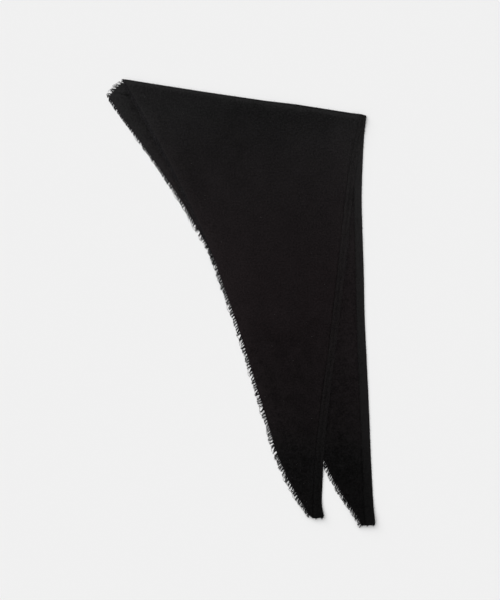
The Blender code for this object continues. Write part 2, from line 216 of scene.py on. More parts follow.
# How the upper layer steps over what it lies on
HEM_MARGIN = 2.0 * MM        # held up for this far beside the lower hem
HEM_RUN = 11.0 * MM          # and then comes down over this length
FRINGE_REACH = 9.0 * MM      # the lower fringe stands out this far
DROP_MARGIN = 2.0 * MM       # held up for this far beyond the lower fringe
DROP_RUN = 12.0 * MM         # and then comes down to the surface
PUFF_RUN = 26.0 * MM         # how far from the fold its looseness dies out
CURL_START = 790.0 * MM      # the two ends curl up from this far below the fold's corner
CURL_RUN = 66.0 * MM

# The cloth beside its stitched seam
SEAM_TUCK = 0.9 * MM         # the cloth runs in under the hem's edge
SEAM_RISE = 0.8 * MM         # the upper layer climbs to the top of its own hem
SEAM_RUN = 13.0 * MM
GROOVE_DEPTH = 0.75 * MM
GROOVE_WIDTH = 1.7 * MM
BACK_SEAM_RISE = 0.35 * GROOVE_DEPTH   # the lower layer swells beside its seam
BACK_SEAM_INSET = 5.0 * MM
BACK_SEAM_WIDTH = 4.0 * MM
BACK_GROOVE_DEPTH = 0.9 * BACK_SEAM_RISE

# Soft ridge that runs down the upper layer beside its frayed edge
RIDGE_RISE = 0.8 * MM
RIDGE_INSET = 16.0 * MM
RIDGE_WIDTH = 12.0 * MM
RIDGE_END = 4.6              # section number on the front layer
RIDGE_FADE = 64.0 * MM

# How a crease dies out towards its ends
CREASE_FADE = 2.2
CREASE_END = 0.3

# Soft unevenness: each swell's share, its size and its seed
UPPER_SWELLS = ((1.0, 85.0 * MM, 1.5), (0.35, 26.0 * MM, 4.5))
LOWER_SWELLS = ((0.6, 60.0 * MM, 7.5), (0.25, 20.0 * MM, 2.5))

# How much lighter the wool's colour is made, or darker below 0: painted highlights, painted shade and
# shadows, and the nap's own worn blotches
GROOVE_SHADE = (-0.14, -0.26)     # painted shade in the seam's groove, at the fold and from far down the scarf
GROOVE_SHADE_RUN = 350.0 * MM
BACK_GROOVE_SHARE = 0.6          # as much on the back layer
EDGE_HIGHLIGHT = 0.36                 # painted highlight along a frayed edge
EDGE_HIGHLIGHT_WIDTH = 2.1 * MM
SIDE_HIGHLIGHT = (0.16, 0.32)         # painted highlight in a wider band beside it, on the front layer and on the back
SIDE_HIGHLIGHT_WIDTH = 17.0 * MM
SIDE_HIGHLIGHT_END = 730.0 * MM       # the band dies out here, this far below the fold's corner
SIDE_HIGHLIGHT_FADE = 120.0 * MM
FRINGE_SHADOW = -0.21               # painted shadow on the lower layer, past the upper one's fringe
SHADE_INSET = 9.0 * MM
SHADE_WIDTH = 3.5 * MM
HEM_SHADOW = -0.09           # painted shadow on the lower layer, beside the upper one's hem
HEM_SHADE_WIDTH = 6.0 * MM
FOLD_HIGHLIGHT = 0.40                 # painted highlight on the roll of the fold
FOLD_HIGHLIGHT_WIDTH = 4.0 * MM
MOTTLE_WEAR = 0.21               # from the lightest blotch to the darkest, low on the scarf
MOTTLE_SWELLS = ((1.0, 11.0 * MM, 11.5),)
MOTTLE_START = 260.0 * MM        # blotches begin this far below the fold's corner
MOTTLE_RUN = 300.0 * MM
CREASE_SHADING = 0.22               # painted light on a crease's ridge and painted shade in its trough, for each millimetre of its rise
APEX_HIGHLIGHT = 0.20                 # painted highlight at the lower layer's own corner
APEX_HIGHLIGHT_WIDTH = 34.0 * MM

# Wide soft places where the wool is lighter, or darker below 0: partly the nap's uneven tone,
# partly painted light and shade, the darkest low on the scarf where the light falls off
FRONT_TONES = table(
    "x  y  across  down  wear",
    (-258, -60, 118, 88, -0.18),
    (-125, -6, 85, 32, -0.13),
    (-170, -235, 105, 80, -0.05),
    (-283, 14, 60, 34, -0.09),
    (-375, -135, 28, 60, -0.07),
    (-137, -185, 50, 55, -0.05),
    (-330, -315, 24, 90, 0.08),
    (-258, -470, 24, 85, 0.11),
    (-215, -590, 22, 70, 0.08),
    (-92, -715, 18, 60, 0.14),
    (-40, -75, 26, 75, 0.12),
    (-45, -250, 26, 90, 0.12),
    (-274, -333, 30, 70, 0.13),
    (-148, -480, 55, 55, -0.09),
    (-85, -500, 30, 45, 0.11),
    (-190, -640, 28, 55, 0.13),
    (-95, -606, 26, 34, 0.12),
    (-120, -745, 60, 60, -0.14),
)
BACK_TONES = table(
    "x  y  across  down  wear",
    (-28, -249, 28, 95, 0.1),
    (-32, -470, 28, 60, 0.12),
    (-50, -745, 45, 75, -0.26),
    (10, -430, 22, 210, 0.13),
    (6, -635, 22, 75, 0.38),
    (-32, -665, 22, 45, 0.12),
)

# Where the black has faded to brown, by height on the laid-out scarf
WARMTH = table(
    "height  warmth",
    (-860, 0.2),
    (-715, 0.2),
    (-650, 0.75),
    (-550, 0.85),
    (-440, 1),
    (-330, 0.95),
    (-220, 0.72),
    (-100, 0.4),
    (10, 0),
)
FADED_TINT = (1.0, 0.79, 0.83)
CLOTH_WARMTH = (1.0, 0.85)   # of the table's, on the front layer and on the back
HEM_WARMTH = (0.5, 0.1)

# Columns of the sheet: distances from each side edge, and how many lie between
EDGE_COLUMNS = np.array((0.0, 0.9, 1.7, 2.6, 3.7, 5.2, 7.2, 10.0, 13.5, 18.0)) * MM
EDGE_ROOM = 2.6 * EDGE_COLUMNS[-1]   # where a section is narrower, they close up
MIDDLE_COLUMNS = 58
FOLD_ANGLES = np.radians((90.0, 60.0, 30.0, 0.0, -30.0, -60.0, -90.0))

# The woven threads lie along these directions, in degrees from x
FRONT_GRAIN = -67.0
BACK_GRAIN = -58.0

LINE_STATIONS = 12      # stations a section where a line is only measured
EDGE_STATIONS = 500     # readings of an edge that space the threads along it
SEAM_STATIONS = 1600    # readings of a seam that space its stitches
DIRECTION_STEP = 0.01   # in sections, for the direction of an edge
BATCH = 4000            # points measured at a time


def ease(x):
    """Rise smoothly from 0 to 1 as x does."""
    x = np.clip(x, 0.0, 1.0)
    return x * x * (3.0 - 2.0 * x)


def swell(distance, width):
    """A rounded bump, 1 high at no distance and gone past about twice its width."""
    return np.exp(-((distance / width) ** 2))


def smooth(rows, at, corners=()):
    """Read rows of numbers along a smooth curve, at row numbers with fractions.

    The curve turns sharply at the rows named in corners.
    """
    rows = np.asarray(rows, dtype=float)
    steps = np.diff(rows, axis=0)
    between = (steps[1:] + steps[:-1]) / 2
    leaving = np.vstack((steps[:1], between))
    arriving = np.vstack((between, steps[-1:]))
    for corner in corners:
        leaving[corner] = steps[corner]
        arriving[corner - 1] = steps[corner - 1]
    at = np.atleast_1d(np.asarray(at, dtype=float))
    row = np.clip(at.astype(int), 0, len(steps) - 1)
    part = (at - row)[:, None]
    rest = 1.0 - part
    return (
        rows[row] * (1 + 2 * part) * rest**2
        + leaving[row] * part * rest**2
        + rows[row + 1] * (1 + 2 * rest) * part**2
        - arriving[row] * rest * part**2
    )


def unit(vectors):
    return vectors / np.linalg.norm(vectors, axis=-1, keepdims=True)


def find_fold_corner():
    """Where the tables' corner lies in the frame, from the solid of the back layer's hem."""
    low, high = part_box("hem_back")
    x = high.x - BACK_SECTIONS["hem_x"].max() * MM
    y = low.y - BACK_SECTIONS["hem_y"].min() * MM
    return np.array((x, y))


FOLD_CORNER = find_fold_corner()


def placed(x, y):
    """Points of the tables, in metres in the frame."""
    return np.column_stack((x, y)) * MM + FOLD_CORNER


def travelled(line):
    """How far each point of a line lies along it."""
    return np.concatenate(([0], np.cumsum(np.linalg.norm(np.diff(line, axis=0), axis=1))))


class Layer:
    """One layer of the folded cloth, read at section numbers with fractions."""

    def __init__(self, sections, creases, tones, corners=()):
        self.sections = sections
        self.creases = creases
        self.tones = tones
        self.corners = corners
        self.last = len(sections["hem_x"]) - 1
        along = np.linspace(0, self.last, self.last * LINE_STATIONS + 1)
        self.hem_line = self.hem_edge(along)
        self.seam_line = self.stitch_line(along)
        self.frayed_line = self.frayed_edge(along)

    def read(self, columns, at):
        rows = np.column_stack([self.sections[name] for name in columns])
        return smooth(rows, at, self.corners)

    def hem_edge(self, at):
        return placed(*self.read(("hem_x", "hem_y"), at).T)

    def frayed_edge(self, at):
        return placed(*self.read(("frayed_x", "frayed_y"), at).T)

    def hem_width(self, at):
        return self.read(("hem_width",), at)[:, 0] * MM

    def fringe(self, at):
        return self.read(("fringe",), at)[:, 0] * MM

    def across(self, at):
        """Unit vectors along the sections, from the hem to the frayed edge."""
        return unit(self.frayed_edge(at) - self.hem_edge(at))

    def stitch_line(self, at):
        return self.hem_edge(at) + self.across(at) * self.hem_width(at)[:, None]

    def outward(self, at):
        """Unit vectors square to the frayed edge, away from the cloth."""
        ahead = self.frayed_edge(at + DIRECTION_STEP)
        along = unit(ahead - self.frayed_edge(at - DIRECTION_STEP))
        return np.column_stack((along[:, 1], -along[:, 0]))

    def stations(self, spacing, fine_rows=0):
        """Section numbers about one spacing apart, with every row among them.

        They lie three times as close over the first fine_rows sections.
        """
        rows = np.arange(self.last + 1)
        lengths = np.linalg.norm(np.diff(self.frayed_edge(rows), axis=0), axis=1)
        spacings = np.where(rows[:-1] < fine_rows, spacing / 3, spacing)
        counts = np.ceil(lengths / spacings).astype(int)
        places = [np.linspace(row, row + 1, n, endpoint=False) for row, n in zip(rows, counts)]
        return np.concatenate(places + [[self.last]])


FRONT = Layer(FRONT_SECTIONS, FRONT_CREASES, FRONT_TONES)
BACK = Layer(BACK_SECTIONS, BACK_CREASES, BACK_TONES, corners=(BACK_APEX,))
LAYERS = {"front": FRONT, "back": BACK}

FOLD_LINE = np.vstack((FRONT.hem_edge(0), FRONT.frayed_edge(0)))
FOLD_ALONG = unit(FOLD_LINE[1] - FOLD_LINE[0])
FOLD_OUTWARD = np.array((FOLD_ALONG[1], -FOLD_ALONG[0]))


def right_of(line, points):
    """Distance of points from a line, negative to the left of its direction."""
    start = line[:-1]
    step = np.diff(line, axis=0)
    found = []
    for batch in np.array_split(points, len(points) // BATCH + 1):
        reach = batch[:, None, :] - start
        share = np.sum(reach * step, axis=2) / np.sum(step * step, axis=1)
        nearest = start + np.clip(share, 0, 1)[..., None] * step
        distance = np.linalg.norm(batch[:, None, :] - nearest, axis=2)
        pick = np.argmin(distance, axis=1)
        rows = np.arange(len(batch))
        turn = step[pick, 0] * reach[rows, pick, 1] - step[pick, 1] * reach[rows, pick, 0]
        found.append(np.where(turn < 0, 1, -1) * distance[rows, pick])
    return np.concatenate(found)


def creased(points, creases):
    """Height that the creases of a table add at points. Each dies out at its ends."""
    height = np.zeros(len(points))
    ends = (
        placed(creases["start_x"], creases["start_y"]),
        placed(creases["end_x"], creases["end_y"]),
    )
    for start, end, width, rise in zip(*ends, creases["width"], creases["rise"]):
        along = end - start
        share = (points - start) @ along / (along @ along)
        nearest = start + np.clip(share, 0, 1)[:, None] * along
        distance = np.linalg.norm(points - nearest, axis=1)
        fade = ease(CREASE_FADE * share + CREASE_END) * ease(CREASE_FADE * (1 - share) + CREASE_END)
        height += rise * MM * swell(distance, width * MM) * fade
    return height


def toned(points, tones):
    """Wear and painted light and shade that the wide soft places of a table add at points."""
    wear = np.zeros(len(points))
    middles = placed(tones["x"], tones["y"])
    columns = (tones[name] for name in ("across", "down", "wear"))
    for middle, across, down, change in zip(middles, *columns):
        away = (points - middle) / (across * MM, down * MM)
        wear += change * swell(np.linalg.norm(away, axis=1), 1.0)
    return wear


def undulation(points, swells):
    """Soft uneven lift of limp cloth, from 0 to the sum of its swells' shares."""
    lift = np.zeros(len(points))
    for share, size, seed in swells:
        found = [noise.noise(Vector((x / size, y / size, seed))) for x, y in points]
        lift += share * np.clip(0.5 + 0.8 * np.array(found), 0, 1)
    return lift


def mottled(points):
    """Wear of the worn blotches that show on the lower part of the scarf."""
    below = FOLD_CORNER[1] - points[:, 1]
    blotches = undulation(points, MOTTLE_SWELLS) - 0.5
    return MOTTLE_WEAR * ease((below - MOTTLE_START) / MOTTLE_RUN) * blotches


class ClothHeights:
    """Heights of the two layers over the surface, worked out from the sizes."""

    def __init__(self, sizes):
        self.sizes = sizes

    def lying(self, points):
        """Underside of the lower layer, and of whatever else lies on the surface."""
        below = FOLD_CORNER[1] - points[:, 1]
        return self.sizes.tip_lift * ease((below - CURL_START) / CURL_RUN)

    def resting(self, points):
        """Underside of the upper layer, where it lies on the lower layer, hem and fringe."""
        sizes = self.sizes
        beyond_fringe = right_of(BACK.frayed_line, points) - FRINGE_REACH - DROP_MARGIN
        beside_hem = right_of(BACK.seam_line, points) - HEM_MARGIN
        from_fold = np.abs(right_of(FOLD_LINE, points))
        height = (sizes.thickness + sizes.layer_gap) * (1 - ease(beyond_fringe / DROP_RUN))
        height += (sizes.hem_thickness - sizes.thickness) * (1 - ease(beside_hem / HEM_RUN))
        height += sizes.fold_puff * (1 - ease(from_fold / PUFF_RUN))
        return height + self.lying(points)

    def under(self, layer, points):
        """Underside of a layer's hem and fringe."""
        return self.resting(points) if layer is FRONT else self.lying(points)

    def upper(self, points):
        """Underside of the upper layer, with its seam, ridge, creases and undulation."""
        from_seam = np.abs(right_of(FRONT.seam_line, points))
        from_edge = np.abs(right_of(FRONT.frayed_line, points))
        ridge_end = FRONT.frayed_edge(RIDGE_END)[0, 1]
        fade = ease((points[:, 1] - ridge_end) / RIDGE_FADE)
        inside = ease(from_edge / RIDGE_INSET)
        height = self.resting(points)
        height += SEAM_RISE * (1 - ease(from_seam / SEAM_RUN))
        height -= GROOVE_DEPTH * swell(from_seam, GROOVE_WIDTH)
        height += RIDGE_RISE * swell(from_edge - RIDGE_INSET, RIDGE_WIDTH) * fade
        height += self.sizes.undulation * undulation(points, UPPER_SWELLS) * inside
        return height + creased(points, FRONT.creases) * inside

    def lower(self, points):
        """Top of the lower layer."""
        from_seam = np.abs(right_of(BACK.seam_line, points))
        inside = ease(np.abs(right_of(BACK.frayed_line, points)) / RIDGE_INSET)
        height = self.sizes.thickness + self.sizes.undulation * undulation(points, LOWER_SWELLS) * inside
        height += BACK_SEAM_RISE * swell(from_seam - BACK_SEAM_INSET, BACK_SEAM_WIDTH)
        height -= BACK_GROOVE_DEPTH * swell(from_seam, GROOVE_WIDTH)
        height += creased(points, BACK.creases)
        return self.lying(points) + np.maximum(height, self.sizes.thickness)


def cloth_wear_and_shading(points, front):
    """How much lighter or darker than the rest the cloth is made at points: the nap's worn blotches and
    tones, with painted highlights and painted shade and shadows.

    front says which of them lie on the front layer.
    """
    # painted highlight on the fold's roll, and the nap's own worn blotches
    wear = FOLD_HIGHLIGHT * swell(right_of(FOLD_LINE, points), FOLD_HIGHLIGHT_WIDTH) + mottled(points)
    sides = (FRONT, front, SIDE_HIGHLIGHT[0], 1.0), (BACK, ~front, SIDE_HIGHLIGHT[1], BACK_GROOVE_SHARE)
    for layer, side, side_highlight, groove_share in sides:
        here = points[side]
        below = FOLD_CORNER[1] - here[:, 1]
        down = np.clip(below / GROOVE_SHADE_RUN, 0, 1)
        groove = groove_share * (GROOVE_SHADE[0] * (1 - down) + GROOVE_SHADE[1] * down)
        from_edge = right_of(layer.frayed_line, here)
        fade = ease((SIDE_HIGHLIGHT_END - below) / SIDE_HIGHLIGHT_FADE)
        # painted shade in the groove, painted highlights along the frayed edge and in the band beside
        # it, painted light and shade on the creases, and the wide soft tones
        wear[side] += groove * swell(right_of(layer.seam_line, here), GROOVE_WIDTH)
        wear[side] += EDGE_HIGHLIGHT * swell(from_edge, EDGE_HIGHLIGHT_WIDTH)
        wear[side] += side_highlight * fade * swell(from_edge, SIDE_HIGHLIGHT_WIDTH)
        wear[side] += CREASE_SHADING * creased(here, layer.creases) / MM
        wear[side] += toned(here, layer.tones)
    lower = points[~front]
    # painted shadows on the lower layer past the upper layer's fringe and beside its hem, and a painted
    # highlight at its own corner
    past_fringe = right_of(FRONT.frayed_line, lower) - SHADE_INSET
    from_apex = np.linalg.norm(lower - BACK.frayed_edge(BACK_APEX)[0], axis=1)
    wear[~front] += FRINGE_SHADOW * swell(past_fringe, SHADE_WIDTH)
    wear[~front] += HEM_SHADOW * swell(right_of(FRONT.hem_line, lower), HEM_SHADE_WIDTH)
    wear[~front] += APEX_HIGHLIGHT * swell(from_apex, APEX_HIGHLIGHT_WIDTH)
    return wear


def fold_reach(points):
    """How far the fold's outline lies beyond the fold line."""
    share = (points - FOLD_LINE[0]) @ FOLD_ALONG / np.linalg.norm(FOLD_LINE[1] - FOLD_LINE[0])
    return np.interp(share, FOLD_OUTLINE["share"], FOLD_OUTLINE["bow"]) * MM


def round_fold(points, top, bottom, reach, thickness, depth, angle):
    """Points on the way round the fold, from its top at 90 degrees to its bottom at -90.

    points are (x, y) on the fold line. top and bottom are the heights of the two
    layers' inner sides there, and depth is how far out from the inner side of the
    cloth a point lies.
    """
    radius = (top - bottom) / 2
    out = reach - thickness - radius + (radius + depth) * math.cos(angle)
    height = bottom + radius + (radius + depth) * math.sin(angle)
    return np.column_stack((points + out[:, None] * FOLD_OUTWARD, height))


def grid_mesh(name, places, closed=False):
    """A mesh over a grid of places, rows by columns by 3. A closed one is a tube with filled ends.

    Its attribute "row" holds the row of each vertex.
    """
    rows, columns = places.shape[:2]
    bm = bmesh.new()
    row_of = bm.verts.layers.int.new("row")
    bmesh.ops.create_grid(bm, x_segments=rows - 1, y_segments=columns - 1, size=1)
    for vert in bm.verts:
        row = round((vert.co.x + 1) / 2 * (rows - 1))
        column = round((vert.co.y + 1) / 2 * (columns - 1))
        vert.co = places[row, column]
        vert[row_of] = row
    if closed:
        bmesh.ops.remove_doubles(bm, verts=bm.verts, dist=1e-7)
        ends = [edge for edge in bm.edges if edge.is_boundary]
        bmesh.ops.holes_fill(bm, edges=ends, sides=0)
        bmesh.ops.recalc_face_normals(bm, faces=bm.faces)
    mesh = bpy.data.meshes.new(name)
    bm.to_mesh(mesh)
    bm.free()
    mesh.shade_smooth()
    return mesh


def own_collection(name):
    """The scene's collection of that name, made the first time."""
    collection = bpy.data.collections.get(name)
    if collection is None:
        collection = bpy.data.collections.new(name)
        bpy.context.scene.collection.children.link(collection)
    return collection


def add_piece(name, mesh, material, slot, *nodes):
    """Link a finished mesh as a piece that rides on the scarf and stands for its solids."""
    obj = bpy.data.objects.new(name, mesh)
    mesh.materials.append(material)
    own_collection("scarf").objects.link(obj)
    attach(obj, "root")
    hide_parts(*nodes)
    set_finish(obj, slot)
    return obj


def read_vertices(mesh):
    """The place of each vertex, and the row of the grid that it came from."""
    places = np.zeros(len(mesh.vertices) * 3)
    mesh.vertices.foreach_get("co", places)
    rows = np.zeros(len(mesh.vertices), dtype=int)
    mesh.attributes["row"].data.foreach_get("value", rows)
    return places.reshape(-1, 3), rows


def lay_values(mesh, name, values):
    """Give the mesh an attribute, one number a vertex."""
    made = mesh.attributes.new(name, "FLOAT", "POINT")
    made.data.foreach_set("value", values.astype(np.float32))


def warmth(points, front, strengths):
    """How far the black has faded to brown, 0 to 1, with a strength for each layer."""
    height = (points[:, 1] - FOLD_CORNER[1]) / MM
    return np.where(front, *strengths) * np.interp(height, WARMTH["height"], WARMTH["warmth"])


def lay_grain(mesh, points, front):
    """Give the mesh a UV map in metres whose u runs along each layer's frayed edge."""
    x, y = points.T
    grain = np.radians(np.where(front, FRONT_GRAIN, BACK_GRAIN))
    along = x * np.cos(grain) + y * np.sin(grain)
    across = y * np.cos(grain) - x * np.sin(grain)
    corners = np.zeros(len(mesh.loops), dtype=int)
    mesh.loops.foreach_get("vertex_index", corners)
    flat = np.column_stack((along, across))[corners]
    mesh.uv_layers.new(name="grain").data.foreach_set("uv", flat.astype(np.float32).ravel())


# Materials


def group_tree(name, inputs, outputs):
    """A new shader node group of a vector and numbers, and its input and output nodes."""
    tree = bpy.data.node_groups.new(name, "ShaderNodeTree")
    tree.interface.new_socket("Vector", in_out="INPUT", socket_type="NodeSocketVector")
    for socket, value in inputs.items():
        made = tree.interface.new_socket(socket, in_out="INPUT", socket_type="NodeSocketFloat")
        made.default_value = value
    for socket in outputs:
        tree.interface.new_socket(socket, in_out="OUTPUT", socket_type="NodeSocketFloat")
    return tree, tree.nodes.new("NodeGroupInput").outputs, tree.nodes.new("NodeGroupOutput")


def feed(tree, node, inputs):
    """Give a node's inputs their constants, or link them to output sockets."""
    for name, value in inputs.items():
        if isinstance(value, bpy.types.NodeSocket):
            tree.links.new(value, node.inputs[name])
        else:
            node.inputs[name].default_value = value


def new_node(tree, kind, inputs, **settings):
    """A new node with its settings and its inputs."""
    node = tree.nodes.new(kind)
    for name, value in settings.items():
        setattr(node, name, value)
    feed(tree, node, inputs)
    return node


def math_node(tree, operation, *values, clamp=False):
    """A Math node fed by sockets or numbers. Gives its output socket."""
    inputs = dict(enumerate(values))
    return new_node(tree, "ShaderNodeMath", inputs, operation=operation, use_clamp=clamp).outputs[0]


def noise_node(tree, vector, scale, detail=2.0, roughness=0.5):
    """A Noise Texture node. Gives its factor socket."""
    inputs = {"Vector": vector, "Scale": scale, "Detail": detail, "Roughness": roughness}
    return new_node(tree, "ShaderNodeTexNoise", inputs).outputs[0]


def mix_node(tree, factor, first, second, blend="MIX"):
    """A Mix node for colours. Gives its result socket."""
    inputs = {"Factor": factor, "A": first, "B": second}
    return new_node(tree, "ShaderNodeMix", inputs, data_type="RGBA", blend_type=blend).outputs["Result"]


def attribute_node(tree, name):
    """An Attribute node. Gives its factor socket."""
    return new_node(tree, "ShaderNodeAttribute", {}, attribute_name=name).outputs["Fac"]


def noise_layer(tree, vector, size, weight, detail, roughness, onto):
    """Add a noise of one size, times its weight, onto a value."""
    scale = math_node(tree, "DIVIDE", 1.0, size)
    noise_value = noise_node(tree, vector, scale, detail, roughness)
    centred = math_node(tree, "SUBTRACT", noise_value, 0.5)
    return math_node(tree, "MULTIPLY_ADD", centred, weight, onto)


def nap_group():
    """Brushed nap: wide soft patches, clumps, small tufts and fine lying fibres."""
    sizes = {
        "Patch Size": 0.045,
        "Clump Size": 0.017,
        "Tuft Size": 0.0030,
        "Fibre Width": 0.0006,
        "Patchiness": 0.22,
        "Clumping": 0.18,
        "Tuftiness": 2.8,
        "Fibre Contrast": 1.1,
    }
    tree, size, result = group_tree("brushed nap", sizes, ("Shade", "Height"))
    place = size["Vector"]
    shade = noise_layer(tree, place, size["Patch Size"], size["Patchiness"], 2.0, 0.5, 0.5)
    shade = noise_layer(tree, place, size["Clump Size"], size["Clumping"], 1.0, 0.5, shade)
    tufts = noise_layer(tree, place, size["Tuft Size"], size["Tuftiness"], 3.0, 0.75, 0.0)
    brushed = {"Vector": place, "Rotation": (0.0, 0.0, math.radians(22.0)), "Scale": (1.0, 0.22, 1.0)}
    lying = new_node(tree, "ShaderNodeMapping", brushed).outputs[0]
    fibres = noise_layer(tree, lying, size["Fibre Width"], size["Fibre Contrast"], 2.0, 0.65, 0.0)
    surface = math_node(tree, "ADD", tufts, fibres)
    height = math_node(tree, "MULTIPLY_ADD", surface, 0.5, 0.5)
    feed(tree, result, {"Shade": math_node(tree, "ADD", shade, surface), "Height": height})
    return tree


def weave_group():
    """Twill weave in a UV map in metres: threads that step over each other."""
    sizes = {"Thread Spacing": 0.001, "Drift Scale": 90.0, "Drift": 5.0}
    tree, size, result = group_tree("twill weave", sizes, ("Height",))
    place = size["Vector"]
    drift = noise_node(tree, place, size["Drift Scale"], detail=1.0)
    apart = new_node(tree, "ShaderNodeSeparateXYZ", {0: place})
    turns = math_node(tree, "DIVIDE", 2 * math.pi, size["Thread Spacing"])
    drift = math_node(tree, "MULTIPLY", drift, size["Drift"])
    warp = math_node(tree, "MULTIPLY_ADD", apart.outputs[0], turns, drift)
    weft = math_node(tree, "MULTIPLY", apart.outputs[1], turns)
    slant = math_node(tree, "MULTIPLY", weft, 0.5)
    rib = math_node(tree, "SINE", math_node(tree, "ADD", warp, slant))
    crossing = math_node(tree, "MULTIPLY", rib, math_node(tree, "SINE", weft))
    height = math_node(tree, "MULTIPLY_ADD", crossing, 0.35, math_node(tree, "MULTIPLY", rib, 0.25))
    feed(tree, result, {"Height": math_node(tree, "ADD", height, 0.5)})
    return tree


def shared_group(name, make):
    """The node group of that name, made the first time."""
    return bpy.data.node_groups.get(name) or make()


def new_material(name, inputs):
    """A material whose shader has these inputs. Gives it with its tree and its shader."""
    material = bpy.data.materials.new(name)
    material.use_nodes = True
    tree = material.node_tree
    shader = tree.nodes["Principled BSDF"]
    feed(tree, shader, inputs)
    return material, tree, shader


def wool_material(name, dark, light, grain_map=None, sheen=0.3):
    """Brushed black wool. grain_map names the UV map that its weave follows.

    The attribute of wear and painted light and shade makes it lighter or darker, and "warmth" browner.
    """
    material, tree, shader = new_material(name, {
        "Roughness": 0.9,
        "Specular IOR Level": 0.02,
        "Sheen Weight": sheen,
        "Sheen Roughness": 0.3,
        "Sheen Tint": (0.30, 0.29, 0.30, 1.0),
    })
    place = tree.nodes.new("ShaderNodeTexCoord").outputs["Object"]
    brushed = shared_group("brushed nap", nap_group)
    nap = new_node(tree, "ShaderNodeGroup", {"Vector": place}, node_tree=brushed)
    # the nap's own shade plus the attribute of wear and painted light and shade
    shade = math_node(tree, "ADD", nap.outputs["Shade"], attribute_node(tree, "wear"), clamp=True)
    colour_mix = mix_node(tree, shade, (*dark, 1.0), (*light, 1.0))
    faded = mix_node(tree, attribute_node(tree, "warmth"), colour_mix, (*FADED_TINT, 1.0), "MULTIPLY")
    height = nap.outputs["Height"]
    if grain_map:
        uv = new_node(tree, "ShaderNodeUVMap", {}, uv_map=grain_map).outputs[0]
        twill = shared_group("twill weave", weave_group)
        weave = new_node(tree, "ShaderNodeGroup", {"Vector": uv}, node_tree=twill).outputs["Height"]
        height = math_node(tree, "MULTIPLY_ADD", weave, 0.4, height)
    bump = new_node(tree, "ShaderNodeBump", {"Strength": 0.7, "Distance": 0.0005, "Height": height})
    feed(tree, shader, {"Base Color": faded, "Normal": bump.outputs[0]})
    return material


# Sizes and colours


def number(name, description, default, **options):
    """A number that a user can change."""
    return bpy.props.FloatProperty(name=name, description=description, default=default, **options)


def length(name, description, default):
    """A length in metres that a user can change."""
    return number(name, description, default, min=0.0, precision=5, unit="LENGTH", subtype="DISTANCE")


def angle(name, description, degrees):
    """An angle that a user can change."""
    return number(name, description, math.radians(degrees), unit="ROTATION", subtype="ANGLE")


def power(name, description, default):
    """A light's power in watts that a user can change."""
    return number(name, description, default, min=0.0, unit="POWER")


def count(name, description, default):
    """A whole number that a user can change."""
    return bpy.props.IntProperty(name=name, description=description, default=default, min=0)


def colour(name, description, default):
    """A colour that a user can change."""
    options = {"min": 0.0, "max": 1.0, "size": 3, "subtype": "COLOR"}
    return bpy.props.FloatVectorProperty(name=name, description=description, default=default, **options)


class ScarfCloth(bpy.types.PropertyGroup):
    """Sizes of the cloth and its hem."""

    thickness: length("Cloth Thickness", "One layer of brushed wool", 0.0012)
    hem_thickness: length("Hem Thickness", "The turned and stitched hem", 0.0024)
    layer_gap: length("Layer Gap", "Between the lower layer and the upper one", 0.0003)
    fold_depth: length("Fold Depth", "How far the turn of cloth reaches past the fold line", 0.0052)
    fold_puff: length("Fold Puff", "Looseness of the cloth at the fold", 0.0008)
    tip_lift: length("Tip Lift", "How far the two ends curl up off the surface", 0.0046)
    undulation: length("Undulation", "Height of the soft unevenness of limp cloth", 0.00045)
    front_spacing: length("Front Row Spacing", "Between the mesh rows of the front layer", 0.0036)
    back_spacing: length("Back Row Spacing", "Between the mesh rows of the back layer", 0.0042)
    hem_spacing: length("Hem Row Spacing", "Between the mesh rows of the hem", 0.004)
    stitch_length: length("Stitch Length", "One stitch of the hem and the space after it", 0.0032)
    stitch_radius: length("Sewing Thread Radius", "Half the thickness of the sewing thread", 0.00028)


class ScarfFringe(bpy.types.PropertyGroup):
    """Sizes of the loose threads of the frayed edges."""

    thread_radius: length("Thread Radius", "Half the thickness of a loose thread", 0.00025)
    hook: length("Hook", "How far a bent thread's end slides down the edge", 0.0024)
    root_inset: length("Root Inset", "How far inside the cloth a thread starts", 0.0018)
    stray_radius: length("Stray Radius", "Half the thickness of a stray hair", 0.00007)
    lint_radius: length("Lint Radius", "Half the thickness of a speck of lint", 0.0001)
    tuft_scale: number("Tuft Scale", "Width of the tufts and of their gaps, times", 1.0, min=0.1)
    lean: angle("Lean", "How far the threads lean down the scarf", 24.0)
    stray_count: count("Stray Fibres", "Fine hairs that stand off the cloth", 1100)
    lint_count: count("Lint", "Pale specks caught in the nap", 46)


class ScarfColours(bpy.types.PropertyGroup):
    """Colours of the wool, the threads and the stage."""

    wool_dark: colour("Wool, Dark", "Where the nap lies open", (0.0021, 0.0021, 0.0021))
    wool_light: colour("Wool, Light", "Where the nap catches the light", (0.0105, 0.0103, 0.0105))
    hem_dark: colour("Hem, Dark", "Pressed wool of the hem, dark", (0.0021, 0.0021, 0.0021))
    hem_light: colour("Hem, Light", "Pressed wool of the hem, light", (0.0103, 0.0100, 0.0101))
    fringe_dark: colour("Threads, Dark", "Loose threads, dark", (0.0026, 0.0025, 0.0028))
    fringe_light: colour("Threads, Light", "Loose threads, light", (0.0110, 0.0106, 0.0117))
    stitch: colour("Sewing Thread", "The sewing thread", (0.0030, 0.0026, 0.0027))
    lint: colour("Lint", "Pale specks", (0.32, 0.31, 0.30))
    floor: colour("Floor", "The surface under the scarf", (0.83, 0.83, 0.83))


